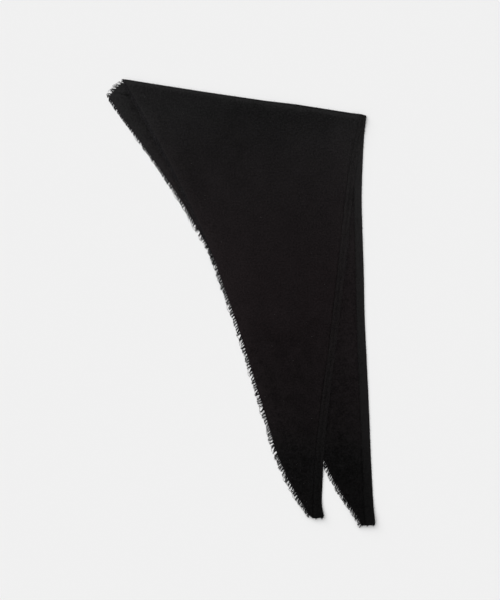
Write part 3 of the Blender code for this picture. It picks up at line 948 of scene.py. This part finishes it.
class ScarfStage(bpy.types.PropertyGroup):
    """The camera and the lights."""

    view_height: length("View Height", "What the image shows from top to bottom", 1.26)
    corner_right: length("Corner to the Right", "From the view's middle to the fold's corner", 0.24255)
    corner_up: length("Corner Up", "From the view's middle up to the fold's corner", 0.38535)
    camera_height: length("Camera Height", "Over the surface", 3.5)
    key_power: power("Key Power", "Light high over the scarf, in watts", 255.0)
    key_spread: angle("Key Spread", "Angle across the key's cone", 56.8947)
    edge_power: power("Edge Power", "Low light beyond the fold, in watts", 2.6)
    floor_light: number("Floor Light", "Broad light on the surface round the scarf", 2.30, min=0.0)
    floor_glow: number("Floor Glow", "Low light on the surface, for long soft shadows", 0.78, min=0.0)
    fill: number("Fill", "Even light from all round", 0.40, min=0.0)


# Pieces


class SCARF_OT_lay_cloth(bpy.types.Operator):
    """Lay the sheet of cloth: the front layer, the turn at the fold and the back layer"""

    bl_idname = "scarf.lay_cloth"
    bl_label = "Lay the Cloth"

    def execute(self, context):
        sizes, colours = context.scene.scarf_cloth, context.scene.scarf_colours
        heights = ClothHeights(sizes)
        front_at = FRONT.stations(sizes.front_spacing)[::-1]
        back_at = BACK.stations(sizes.back_spacing, fine_rows=BACK_APEX + 1)
        front = self.layer_places(FRONT, front_at, heights.upper)
        back = self.layer_places(BACK, back_at, heights.lower)

        fold = self.section(FRONT, np.zeros(1))[0]
        top, bottom = heights.upper(fold), heights.lower(fold)
        reach = sizes.fold_depth + fold_reach(fold)
        turn = np.array([
            round_fold(fold, top, bottom, reach, sizes.thickness, np.zeros(len(fold)), angle)
            for angle in FOLD_ANGLES
        ])
        places = np.concatenate((front, turn, back))
        mesh = grid_mesh("wool_cloth", places)
        front_rows = len(front) + len(turn) // 2
        vertices, rows = read_vertices(mesh)
        points, on_front = vertices[:, :2], rows < front_rows
        lay_grain(mesh, points, on_front)
        lay_values(mesh, "wear", cloth_wear_and_shading(points, on_front))
        lay_values(mesh, "warmth", warmth(points, on_front, CLOTH_WARMTH))

        shades = colours.wool_dark, colours.wool_light
        material = wool_material("brushed black wool", *shades, grain_map="grain")
        nodes = "cloth_front", "cloth_fold", "cloth_back"
        cloth = add_piece("wool_cloth", mesh, material, "wool_cloth", *nodes)
        wall = cloth.modifiers.new("thickness", "SOLIDIFY")
        wall.thickness = sizes.thickness
        wall.offset = 1.0
        return {"FINISHED"}

    def section(self, layer, at):
        """Points across the layer at each station, from the stitch line to the frayed edge."""
        inner = layer.stitch_line(at) - layer.across(at) * SEAM_TUCK
        outer = layer.frayed_edge(at)
        width = np.linalg.norm(outer - inner, axis=1)
        squeeze = np.minimum(1.0, width / EDGE_ROOM)[:, None]
        near = EDGE_COLUMNS * squeeze
        even = np.linspace(0, 1, MIDDLE_COLUMNS + 2)[1:-1]
        first, last = near[:, -1:], width[:, None] - near[:, -1:]
        middle = first + (last - first) * even
        distance = np.hstack((near, middle, (width[:, None] - near)[:, ::-1]))
        return inner[:, None, :] + distance[..., None] * unit(outer - inner)[:, None, :]

    def layer_places(self, layer, at, height):
        flat = self.section(layer, at)
        z = height(flat.reshape(-1, 2)).reshape(flat.shape[:2])
        return np.dstack((flat, z))


class SCARF_OT_turn_hem(bpy.types.Operator):
    """Turn the hem along the cloth's long edge, from the front tip round the fold to the back tip"""

    bl_idname = "scarf.turn_hem"
    bl_label = "Turn the Hem"

    def execute(self, context):
        sizes, colours = context.scene.scarf_cloth, context.scene.scarf_colours
        heights = ClothHeights(sizes)
        levels = (FRONT, HEM_OUTLINE["front_depth"]), (BACK, 1.0 - HEM_OUTLINE["back_depth"])
        front, back = (
            [self.ring(layer, at, heights, level) for at in layer.stations(sizes.hem_spacing)]
            for layer, level in levels
        )
        front.reverse()
        flat = self.outline(FRONT, 0.0)
        top = heights.resting(flat)
        bottom = np.full(len(flat), sizes.hem_thickness)
        reach = sizes.fold_depth + fold_reach(flat)
        parts = 0.5 - FOLD_ANGLES / math.pi
        turn = []
        for angle, part in zip(FOLD_ANGLES, parts):
            depth = self.between("depth", part) * sizes.hem_thickness
            ring = round_fold(flat, top, bottom, reach, sizes.hem_thickness, depth, angle)
            turn.append(np.vstack((ring, ring[:1])))
        places = np.array(front + turn + back)
        mesh = grid_mesh("wool_hem", places, closed=True)
        vertices, rows = read_vertices(mesh)
        on_front = rows < len(front)
        of_ring = np.concatenate((np.zeros(len(front)), parts, np.ones(len(back))))
        lay_values(mesh, "wear", self.wear(vertices, rows, on_front, places, of_ring))
        lay_values(mesh, "warmth", warmth(vertices, on_front, HEM_WARMTH))
        material = wool_material("pressed wool hem", colours.hem_dark, colours.hem_light)
        add_piece("wool_hem", mesh, material, "wool_hem", "hem_front", "hem_turn", "hem_back")
        return {"FINISHED"}

    def between(self, what, part):
        """The outline's depth or its wear and painted shading on the way from the front layer, 0, to the
        back, 1.
        """
        return HEM_OUTLINE["front_" + what] * (1 - part) + HEM_OUTLINE["back_" + what] * part

    def wear(self, vertices, rows, on_front, places, of_ring):
        """Wear and painted light and shade of each vertex, from the nearest place of its own ring, and
        its layer's tones.

        of_ring says how far each ring lies on the way from the front layer to the back.
        """
        wear = np.zeros(len(vertices))
        for row, part in enumerate(of_ring):
            here = np.flatnonzero(rows == row)
            apart = np.linalg.norm(vertices[here][:, None, :] - places[row, :-1], axis=2)
            # painted highlights and shade of the hem's outline
            wear[here] = self.between("wear", part)[np.argmin(apart, axis=1)]
        for layer, side in ((FRONT, on_front), (BACK, ~on_front)):
            wear[side] += toned(vertices[side, :2], layer.tones)
        return wear

    def outline(self, layer, at):
        """The hem's outline at a station, as (x, y) points."""
        along = HEM_OUTLINE["share"] * layer.hem_width(at)[0] + HEM_OUTLINE["offset"] * MM
        return layer.hem_edge(at)[0] + along[:, None] * layer.across(at)[0]

    def ring(self, layer, at, heights, levels):
        """The closed outline at a station, at these shares of the hem's thickness."""
        flat = self.outline(layer, at)
        z = heights.under(layer, flat) + levels * heights.sizes.hem_thickness
        ring = np.column_stack((flat, z))
        return np.vstack((ring, ring[:1]))


def lay_threads(name, paths, radius, material, slot, *nodes):
    """Threads with four sides through paths of (x, y, z, share of the radius), as one mesh piece."""
    curve = bpy.data.curves.new(name, "CURVE")
    curve.dimensions = "3D"
    curve.bevel_depth = radius
    curve.bevel_resolution = 0
    curve.use_fill_caps = True
    for path in paths:
        spline = curve.splines.new("POLY")
        spline.points.add(len(path) - 1)
        places = np.column_stack((path[:, :3], np.ones(len(path))))
        spline.points.foreach_set("co", places.ravel())
        spline.points.foreach_set("radius", np.ascontiguousarray(path[:, 3]))
    drawn = bpy.data.objects.new(name + "_line", curve)
    bpy.context.scene.collection.objects.link(drawn)
    mesh = bpy.data.meshes.new_from_object(drawn.evaluated_get(bpy.context.evaluated_depsgraph_get()))
    bpy.data.objects.remove(drawn)
    bpy.data.curves.remove(curve)
    mesh.name = name
    mesh.shade_smooth()
    return add_piece(name, mesh, material, slot, *nodes)


def turned(directions, angles):
    """Unit (x, y) vectors turned anticlockwise."""
    cos, sin = np.cos(angles), np.sin(angles)
    x, y = directions.T
    return np.column_stack((x * cos - y * sin, x * sin + y * cos))


class SCARF_OT_stitch_hem(bpy.types.Operator):
    """Stitch the hem down along its inner edge on both layers"""

    bl_idname = "scarf.stitch_hem"
    bl_label = "Stitch the Hem"

    inset = 1.3 * MM                                   # from the stitch line into the hem
    bare = (0.03, 0.02)                                # sections without it, at the fold and the tip
    shares = np.array((0.0, 0.16, 0.42, 0.66, 0.82))   # of a stitch's length
    lifts = np.array((-0.5, 0.0, 0.22, 0.0, -0.5)) * MM

    def execute(self, context):
        sizes, colours = context.scene.scarf_cloth, context.scene.scarf_colours
        heights = ClothHeights(sizes)
        paths = []
        for layer, level in ((FRONT, 0.84), (BACK, 0.82)):
            fine = np.linspace(self.bare[0], layer.last - self.bare[1], SEAM_STATIONS)
            line = layer.stitch_line(fine) - layer.across(fine) * self.inset
            run = travelled(line)
            starts = np.arange(0, run[-1] - sizes.stitch_length, sizes.stitch_length)
            reach = (starts[:, None] + self.shares * sizes.stitch_length).ravel()
            flat = np.column_stack([np.interp(reach, run, line[:, k]) for k in (0, 1)])
            z = heights.under(layer, flat) + level * sizes.hem_thickness
            z = z.reshape(len(starts), -1) + self.lifts
            paths.extend(np.dstack((flat.reshape(*z.shape, 2), z, np.ones_like(z))))
        material = wool_material("sewing thread", colours.stitch, colours.stitch)
        lay_threads("hem_stitches", paths, sizes.stitch_radius, material, "wool_hem")
        return {"FINISHED"}


class SCARF_OT_fray_edges(bpy.types.Operator):
    """Fray the two short sides into loose threads, one piece for each row of the solids"""

    bl_idname = "scarf.fray_edges"
    bl_label = "Fray the Edges"

    shares = np.array((0.0, 0.0, 0.30, 0.62, 0.85, 1.0))     # of a thread's length past the edge
    gathers = np.array((0.0, 0.0, 0.70, 1.0, 0.9, 0.6))      # of the way to its tuft's middle
    slides = np.array((0.0, 0.0, 0.0, 0.10, 0.45, 1.0))      # of its hook, down the edge
    settle = np.array((0.5, 0.45, 0.28, 0.22, 0.20, 0.20))   # height, of the cloth's thickness
    radii = np.array((1.0, 1.0, 1.0, 1.0, 0.9, 0.6))
    corner_threads = 44                    # in the tuft at the cloth's own corner
    fold_threads = 34                      # at the end of the turn
    loose_spans = 8.0 * MM, 30.0 * MM      # along the edge, of threads that slid off
    loose_step = 1.6 * MM
    loose_gaps = -4.0 * MM, 18.0 * MM      # from one of them to the next
    loose_depths = 0.55, 0.98              # of the fringe's reach

    def execute(self, context):
        sizes, colours = context.scene.scarf_fringe, context.scene.scarf_colours
        heights = ClothHeights(context.scene.scarf_cloth)
        shades = colours.fringe_dark, colours.fringe_light
        material = wool_material("frayed wool thread", *shades, sheen=0.15)
        for name, side, start, end, *spacings in FRINGES:
            layer = LAYERS[side]
            chance = random.Random(name)
            fine = np.linspace(start, end, EDGE_STATIONS)
            run = travelled(layer.frayed_edge(fine))
            width, gap, close, loose = np.array(spacings) * MM
            usual = (width * sizes.tuft_scale, gap * sizes.tuft_scale, close, loose)
            threads = self.plan_tufts(run[-1], usual, sizes, chance)
            at = np.interp(threads["root"], run, fine)
            paths = self.grow(layer, heights, at, threads, sizes)
            paths += self.wander(layer, heights, run, fine, width / gap, chance)
            if name == "fringe_apex":
                paths += self.fan(heights, sizes, chance)
                paths += self.fold_end(heights, sizes, chance)
            lay_threads(name + "_threads", paths, sizes.thread_radius, material, "wool_fringe", name)
        return {"FINISHED"}

    def plan_tufts(self, length, usual, sizes, chance):
        """For each thread: its root along the edge, lean, curl, reach, pull to its tuft and hook."""
        usual_width, usual_gap, close, loose = usual
        threads = []
        place = 0.0
        while place < length:
            width = usual_width * chance.uniform(0.65, 1.35)
            lean = sizes.lean + math.radians(chance.gauss(0, 8))
            curl = math.radians(chance.gauss(0, 8))
            reach = chance.uniform(0.84, 1.10)
            gather = chance.uniform(0.0, 0.50)
            hook = sizes.hook * max(0.0, chance.uniform(-0.8, 1.2))
            root = place
            while root < min(place + width, length):
                threads.append((
                    root,
                    lean + math.radians(chance.gauss(0, 3)),
                    curl + math.radians(chance.gauss(0, 6)),
                    reach * chance.uniform(0.76, 1.03),
                    (place + width / 2 - root) * gather,
                    hook * chance.uniform(0.2, 1.0),
                ))
                root += close * chance.uniform(0.6, 1.4)
            place += width + usual_gap * chance.uniform(0.4, 1.6)
            root += loose * chance.uniform(0.0, 0.8)
            while root < min(place, length):
                threads.append((
                    root,
                    sizes.lean + math.radians(chance.gauss(0, 14)),
                    math.radians(chance.gauss(0, 16)),
                    chance.uniform(0.5, 0.95),
                    0.0,
                    sizes.hook * chance.uniform(0.0, 0.6),
                ))
                root += loose * chance.uniform(0.6, 1.4)
        return dict(zip(("root", "lean", "curl", "reach", "pull", "hook"), np.array(threads).T))

    def grow(self, layer, heights, at, threads, sizes):
        """Paths of the threads that leave the cloth's edge."""
        edge = layer.frayed_edge(at)
        outward = layer.outward(at)
        down = np.column_stack((-outward[:, 1], outward[:, 0]))
        size = layer.fringe(at) * threads["reach"]
        steps = []
        for k, (share, gather, slide) in enumerate(zip(self.shares, self.gathers, self.slides)):
            heading = turned(outward, threads["lean"] + threads["curl"] * share)
            aside = threads["pull"] * gather + threads["hook"] * slide
            flat = edge + heading * (size * share)[:, None] + down * aside[:, None]
            if k == 0:
                flat = edge - outward * sizes.root_inset
            steps.append(flat)
        flat = np.stack(steps, axis=1)
        under = heights.under(layer, flat.reshape(-1, 2)).reshape(flat.shape[:2])
        z = under + np.maximum(heights.sizes.thickness * self.settle, sizes.thread_radius * 1.1)
        radii = np.broadcast_to(self.radii, z.shape)
        return list(np.dstack((flat, z, radii)))

    def fan(self, heights, sizes, chance):
        """Paths of the tuft that spreads at the cloth's own corner."""
        before, after = BACK.outward(np.array((BACK_APEX - 0.1, BACK_APEX + 0.1)))
        corner, usual = BACK.frayed_edge(BACK_APEX)[0], BACK.fringe(BACK_APEX)[0]
        paths = []
        for share in np.linspace(0, 1, self.corner_threads):
            aim = unit(before * (1 - share) + after * share)
            heading = turned(aim[None, :], np.array((chance.gauss(0, 0.12),)))[0]
            flat = self.straight(corner, heading, usual * chance.uniform(0.25, 0.55), sizes)
            z = heights.lying(flat) + heights.sizes.thickness * self.settle
            paths.append(np.column_stack((flat, z, self.radii)))
        return paths

    def fold_end(self, heights, sizes, chance):
        """Paths of the threads at the end of the turn, where the frayed edge goes round the fold."""
        depth = heights.sizes.fold_depth
        top = heights.upper(FOLD_LINE[1:])[0]
        paths = []
        for _ in range(self.fold_threads):
            out = depth * (1 - chance.uniform(0, 1) ** 2)
            heading = turned(FOLD_ALONG[None, :], np.array((chance.gauss(0.06, 0.12),)))[0]
            reach = FRINGE_REACH * chance.uniform(0.55, 1.0) * (0.4 + 0.6 * out / depth)
            start = FOLD_LINE[1] + FOLD_OUTWARD * (out - 0.4 * MM)
            flat = self.straight(start, heading, reach, sizes)
            z = top * chance.uniform(0.35, 1.0) * (1 - 0.7 * self.shares) + sizes.thread_radius
            paths.append(np.column_stack((flat, z, self.radii)))
        return paths

    def straight(self, start, heading, reach, sizes):
        """Places of a thread that leaves a point of the edge one way."""
        flat = start + heading * (self.shares * reach)[:, None]
        flat[0] -= heading * sizes.root_inset
        return flat

    def wander(self, layer, heights, run, fine, fullness, chance):
        """Paths of loose threads that slid off and lie along the fringe's ends.

        The fuller the fringe's tufts are, the more of them there are.
        """
        paths = []
        place = chance.uniform(0, 0.02)
        while place < run[-1]:
            span = chance.uniform(*self.loose_spans)
            steps = np.arange(max(8, round(span / self.loose_step)))
            reach = np.clip(place + span * steps / steps[-1], 0, run[-1])
            at = np.interp(reach, run, fine)
            depth = chance.uniform(*self.loose_depths)
            shake = np.array([chance.uniform(-0.03, 0.03) for _ in steps])
            sway = depth + 0.13 * np.sin(steps * 0.55 + depth * 30) + shake
            flat = layer.frayed_edge(at) + layer.outward(at) * (layer.fringe(at) * sway)[:, None]
            z = heights.under(layer, flat) + heights.sizes.thickness * 0.42
            paths.append(np.column_stack((flat, z, np.full(len(steps), 0.95))))
            place += span + chance.uniform(*self.loose_gaps) / min(fullness, 1.5)
        return paths


class SCARF_OT_scatter_fibres(bpy.types.Operator):
    """Scatter stray hairs along the hem and the fold, tufts at the cut tips, and lint on the nap"""

    bl_idname = "scarf.scatter_fibres"
    bl_label = "Scatter Stray Fibres"

    cluster_turns = 520.0              # of the tufts at a tip, in radians a metre
    tip_reach = 0.2 * MM, 4.2 * MM     # of a cut end, and how much further in a tuft's middle
    tip_shares = np.array((0.0, 0.5, 1.0))
    hair_reach = 0.6 * MM, 3.2 * MM
    lint_reach = 0.3 * MM, 1.1 * MM

    def execute(self, context):
        sizes, colours = context.scene.scarf_fringe, context.scene.scarf_colours
        heights = ClothHeights(context.scene.scarf_cloth)
        chance = random.Random("stray fibres")
        wool = wool_material("stray wool", colours.fringe_dark, colours.fringe_light)
        self.tip_tufts(heights, sizes, wool, chance)
        self.strays(heights, sizes, wool, chance)
        self.lint(heights, sizes, colours, chance)
        return {"FINISHED"}

    def tip_tufts(self, heights, sizes, material, chance):
        """Short cut ends where the hem stops at each tip."""
        paths = []
        for layer in (FRONT, BACK):
            end = layer.last
            corner, across = layer.hem_edge(end)[0], layer.across(end)[0]
            width = np.linalg.norm(layer.frayed_edge(end)[0] - corner)
            down = unit(layer.hem_edge(end) - layer.hem_edge(end - 0.2))[0]
            place = 0.4 * MM
            while place < width:
                cluster = max(0.0, math.sin(place * self.cluster_turns)) ** 2
                reach = self.tip_reach[0] + self.tip_reach[1] * cluster * chance.uniform(0.6, 1.0)
                lean = math.radians(chance.gauss(0, 14))
                steps = np.concatenate(((-0.8 * MM,), self.tip_shares * reach))[:, None]
                for level in (0.3, 0.7):
                    heading = turned(down[None, :], np.array((lean + chance.gauss(0, 0.1),)))[0]
                    flat = corner + across * (place + chance.uniform(0, 0.3) * MM) + steps * heading
                    height = heights.sizes.hem_thickness * level * np.array((1.0, 1.0, 0.75, 0.45))
                    z = heights.under(layer, flat) + np.maximum(height, sizes.thread_radius)
                    paths.append(np.column_stack((flat, z, (1.0, 1.0, 0.8, 0.4))))
                place += chance.uniform(0.45, 0.8) * MM
        lay_threads("tip_tufts", paths, sizes.thread_radius, material, "wool_fringe")

    def strays(self, heights, sizes, material, chance):
        """Fine curved hairs that stand off the outline."""
        cloth = heights.sizes
        paths = []
        for layer, share in ((FRONT, 0.45), (BACK, 0.55)):
            for _ in range(round(sizes.stray_count * share)):
                at = chance.uniform(0, layer.last)
                away = -layer.across(at)[0]
                flat = self.hair(layer.hem_edge(at)[0] - away * 0.4 * MM, away, chance)
                paths.append(self.lift(flat, heights.under(layer, flat), cloth.hem_thickness, chance))
        for _ in range(round(sizes.stray_count * 0.3)):
            share = chance.random()
            place = FOLD_LINE[0] * (1 - share) + FOLD_LINE[1] * share
            out = cloth.fold_depth + fold_reach(place[None, :])[0] - 0.5 * MM
            flat = self.hair(place + FOLD_OUTWARD * out, FOLD_OUTWARD, chance)
            paths.append(self.lift(flat, 1.0 * MM, cloth.thickness, chance))
        lay_threads("stray_fibres", paths, sizes.stray_radius, material, "wool_cloth")

    def hair(self, root, away, chance):
        """Places of one hair that leaves its root about one way."""
        reach = chance.uniform(*self.hair_reach)
        heading = turned(away[None, :], np.array((chance.gauss(0, 0.8),)))
        curl = chance.gauss(0, 0.9)
        steps = [root]
        for k in range(4):
            heading = turned(heading, np.array((curl / 4,)))
            steps.append(steps[-1] + heading[0] * reach / 4)
        return np.array(steps)

    def lift(self, flat, under, thickness, chance):
        """The path of a hair: its places, heights and share of the radius."""
        level = chance.uniform(0.25, 0.85)
        rise = np.linspace(0, chance.uniform(-0.3, 0.7), len(flat)) * MM
        z = np.maximum(under + thickness * level + rise, 0.1 * MM)
        return np.column_stack((flat, z, (1.0, 1.0, 0.9, 0.7, 0.4)))

    def lint(self, heights, sizes, colours, chance):
        """Pale specks on the front layer."""
        material, tree, shader = new_material("pale lint", {"Roughness": 0.9})
        place = tree.nodes.new("ShaderNodeTexCoord").outputs["Object"]
        shades = (*(0.5 * c for c in colours.lint), 1.0), (*colours.lint, 1.0)
        feed(tree, shader, {"Base Color": mix_node(tree, noise_node(tree, place, 900.0), *shades)})

        paths = []
        for _ in range(sizes.lint_count):
            at = chance.uniform(0.1, FRONT.last - 1.0)
            share = chance.uniform(0.03, 0.95)
            middle = FRONT.stitch_line(at)[0] * (1 - share) + FRONT.frayed_edge(at)[0] * share
            heading = np.array((math.cos(at * 40), math.sin(at * 40)))
            reach = chance.uniform(*self.lint_reach)
            flat = middle + np.linspace(-0.5, 0.5, 4)[:, None] * heading * reach
            bend = reach * chance.uniform(-0.2, 0.2)
            flat[1:3] += turned(heading[None, :], np.array((math.pi / 2,))) * bend
            z = heights.upper(flat) + heights.sizes.thickness + 0.06 * MM
            paths.append(np.column_stack((flat, z, (0.6, 1.0, 1.0, 0.6))))
        lay_threads("lint", paths, sizes.lint_radius, material, "wool_cloth")


class SCARF_OT_set_stage(bpy.types.Operator):
    """Set the pale floor, the soft lights and the camera straight above the scarf"""

    bl_idname = "scarf.set_stage"
    bl_label = "Set the Stage"

    floor_reach = 9.0
    floor_drop = 0.1 * MM   # keeps it clear of the cloth's underside

    def execute(self, context):
        scene = context.scene
        stage = scene.scarf_stage
        middle = FOLD_CORNER - np.array((stage.corner_right, stage.corner_up))
        self.floor(scene, middle)
        self.camera(scene, stage, middle)
        self.lights(scene, stage, middle)
        scene.view_settings.view_transform = "Standard"
        return {"FINISHED"}

    def floor(self, scene, middle):
        bm = bmesh.new()
        bmesh.ops.create_grid(bm, x_segments=1, y_segments=1, size=self.floor_reach)
        bmesh.ops.translate(bm, vec=(*middle, -self.floor_drop), verts=bm.verts)
        mesh = bpy.data.meshes.new("floor")
        bm.to_mesh(mesh)
        bm.free()
        pale = (*scene.scarf_colours.floor, 1.0)
        matte = {"Base Color": pale, "Roughness": 1.0, "Specular IOR Level": 0.0}
        mesh.materials.append(new_material("pale studio floor", matte)[0])
        floor = bpy.data.objects.new("floor", mesh)
        own_collection("surface").objects.link(floor)

    def camera(self, scene, stage, middle):
        data = bpy.data.cameras.new("view")
        data.sensor_width = 36.0   # along the longer side, the image's height
        data.lens = data.sensor_width * stage.camera_height / stage.view_height
        camera = bpy.data.objects.new("view", data)
        camera.location = (*middle, stage.camera_height)
        scene.collection.objects.link(camera)
        scene.camera = camera

    def lights(self, scene, stage, middle):
        """Hang two lights for the scarf alone and two for the surface alone, and fill in evenly."""
        for name, kind, energy, place, aim, lit, settings in (
            # places and aims are from the view's middle
            ("key", "SPOT", stage.key_power, (-0.114, 0.479, 2.2), (-0.114, 0.479, 1.2), "scarf",
             {"shadow_soft_size": 0.25, "spot_size": stage.key_spread, "spot_blend": 1.0}),
            ("low light", "AREA", stage.edge_power, (-0.25, 1.35, 0.55), (-0.1, 0.1, 0.0), "scarf",
             {"shape": "RECTANGLE", "size": 1.0, "size_y": 0.4}),
            ("floor light", "SUN", stage.floor_light, (-0.42, 0.5, 0.8), (0, 0, 0), "surface",
             {"angle": math.radians(85.0)}),
            ("floor glow", "SUN", stage.floor_glow, (-0.66, 0.66, 0.35), (0, 0, 0), "surface",
             {"angle": math.radians(30.0)}),
        ):
            data = bpy.data.lights.new(name, kind)
            data.energy = energy
            for setting, value in settings.items():
                setattr(data, setting, value)
            light = bpy.data.objects.new(name, data)
            light.location = Vector((*middle, 0)) + Vector(place)
            light.rotation_euler = (Vector(aim) - Vector(place)).to_track_quat("-Z", "Y").to_euler()
            light.light_linking.receiver_collection = own_collection(lit)
            light.visible_camera = False
            scene.collection.objects.link(light)

        world = bpy.data.worlds.new("even light")
        world.use_nodes = True
        background = world.node_tree.nodes["Background"]
        feed(world.node_tree, background, {"Color": (1.0, 1.0, 1.0, 1.0), "Strength": stage.fill})
        scene.world = world


class VIEW3D_PT_scarf(bpy.types.Panel):
    """Sizes, colours and steps of the scarf"""

    bl_label = "Triangle Scarf"
    bl_space_type = "VIEW_3D"
    bl_region_type = "UI"
    bl_category = "Scarf"

    def draw(self, context):
        layout = self.layout
        for step in STEPS:
            layout.operator(step.bl_idname)
        for name, kind in SETTINGS.items():
            box = layout.box()
            box.label(text=kind.__doc__)
            for prop in kind.__annotations__:
                box.prop(getattr(context.scene, name), prop)


SETTINGS = {
    "scarf_cloth": ScarfCloth,
    "scarf_fringe": ScarfFringe,
    "scarf_colours": ScarfColours,
    "scarf_stage": ScarfStage,
}
STEPS = (
    SCARF_OT_lay_cloth,
    SCARF_OT_turn_hem,
    SCARF_OT_stitch_hem,
    SCARF_OT_fray_edges,
    SCARF_OT_scatter_fibres,
    SCARF_OT_set_stage,
)


def register():
    for kind in (*SETTINGS.values(), *STEPS, VIEW3D_PT_scarf):
        bpy.utils.register_class(kind)
    for name, kind in SETTINGS.items():
        setattr(bpy.types.Scene, name, bpy.props.PointerProperty(type=kind))


def unregister():
    for name in SETTINGS:
        delattr(bpy.types.Scene, name)
    for kind in (VIEW3D_PT_scarf, *STEPS, *SETTINGS.values()):
        bpy.utils.unregister_class(kind)


def main():
    register()
    bpy.ops.scarf.lay_cloth()
    bpy.ops.scarf.turn_hem()
    bpy.ops.scarf.stitch_hem()
    bpy.ops.scarf.fray_edges()
    bpy.ops.scarf.scatter_fibres()
    bpy.ops.scarf.set_stage()


if __name__ == "__main__":
    main()
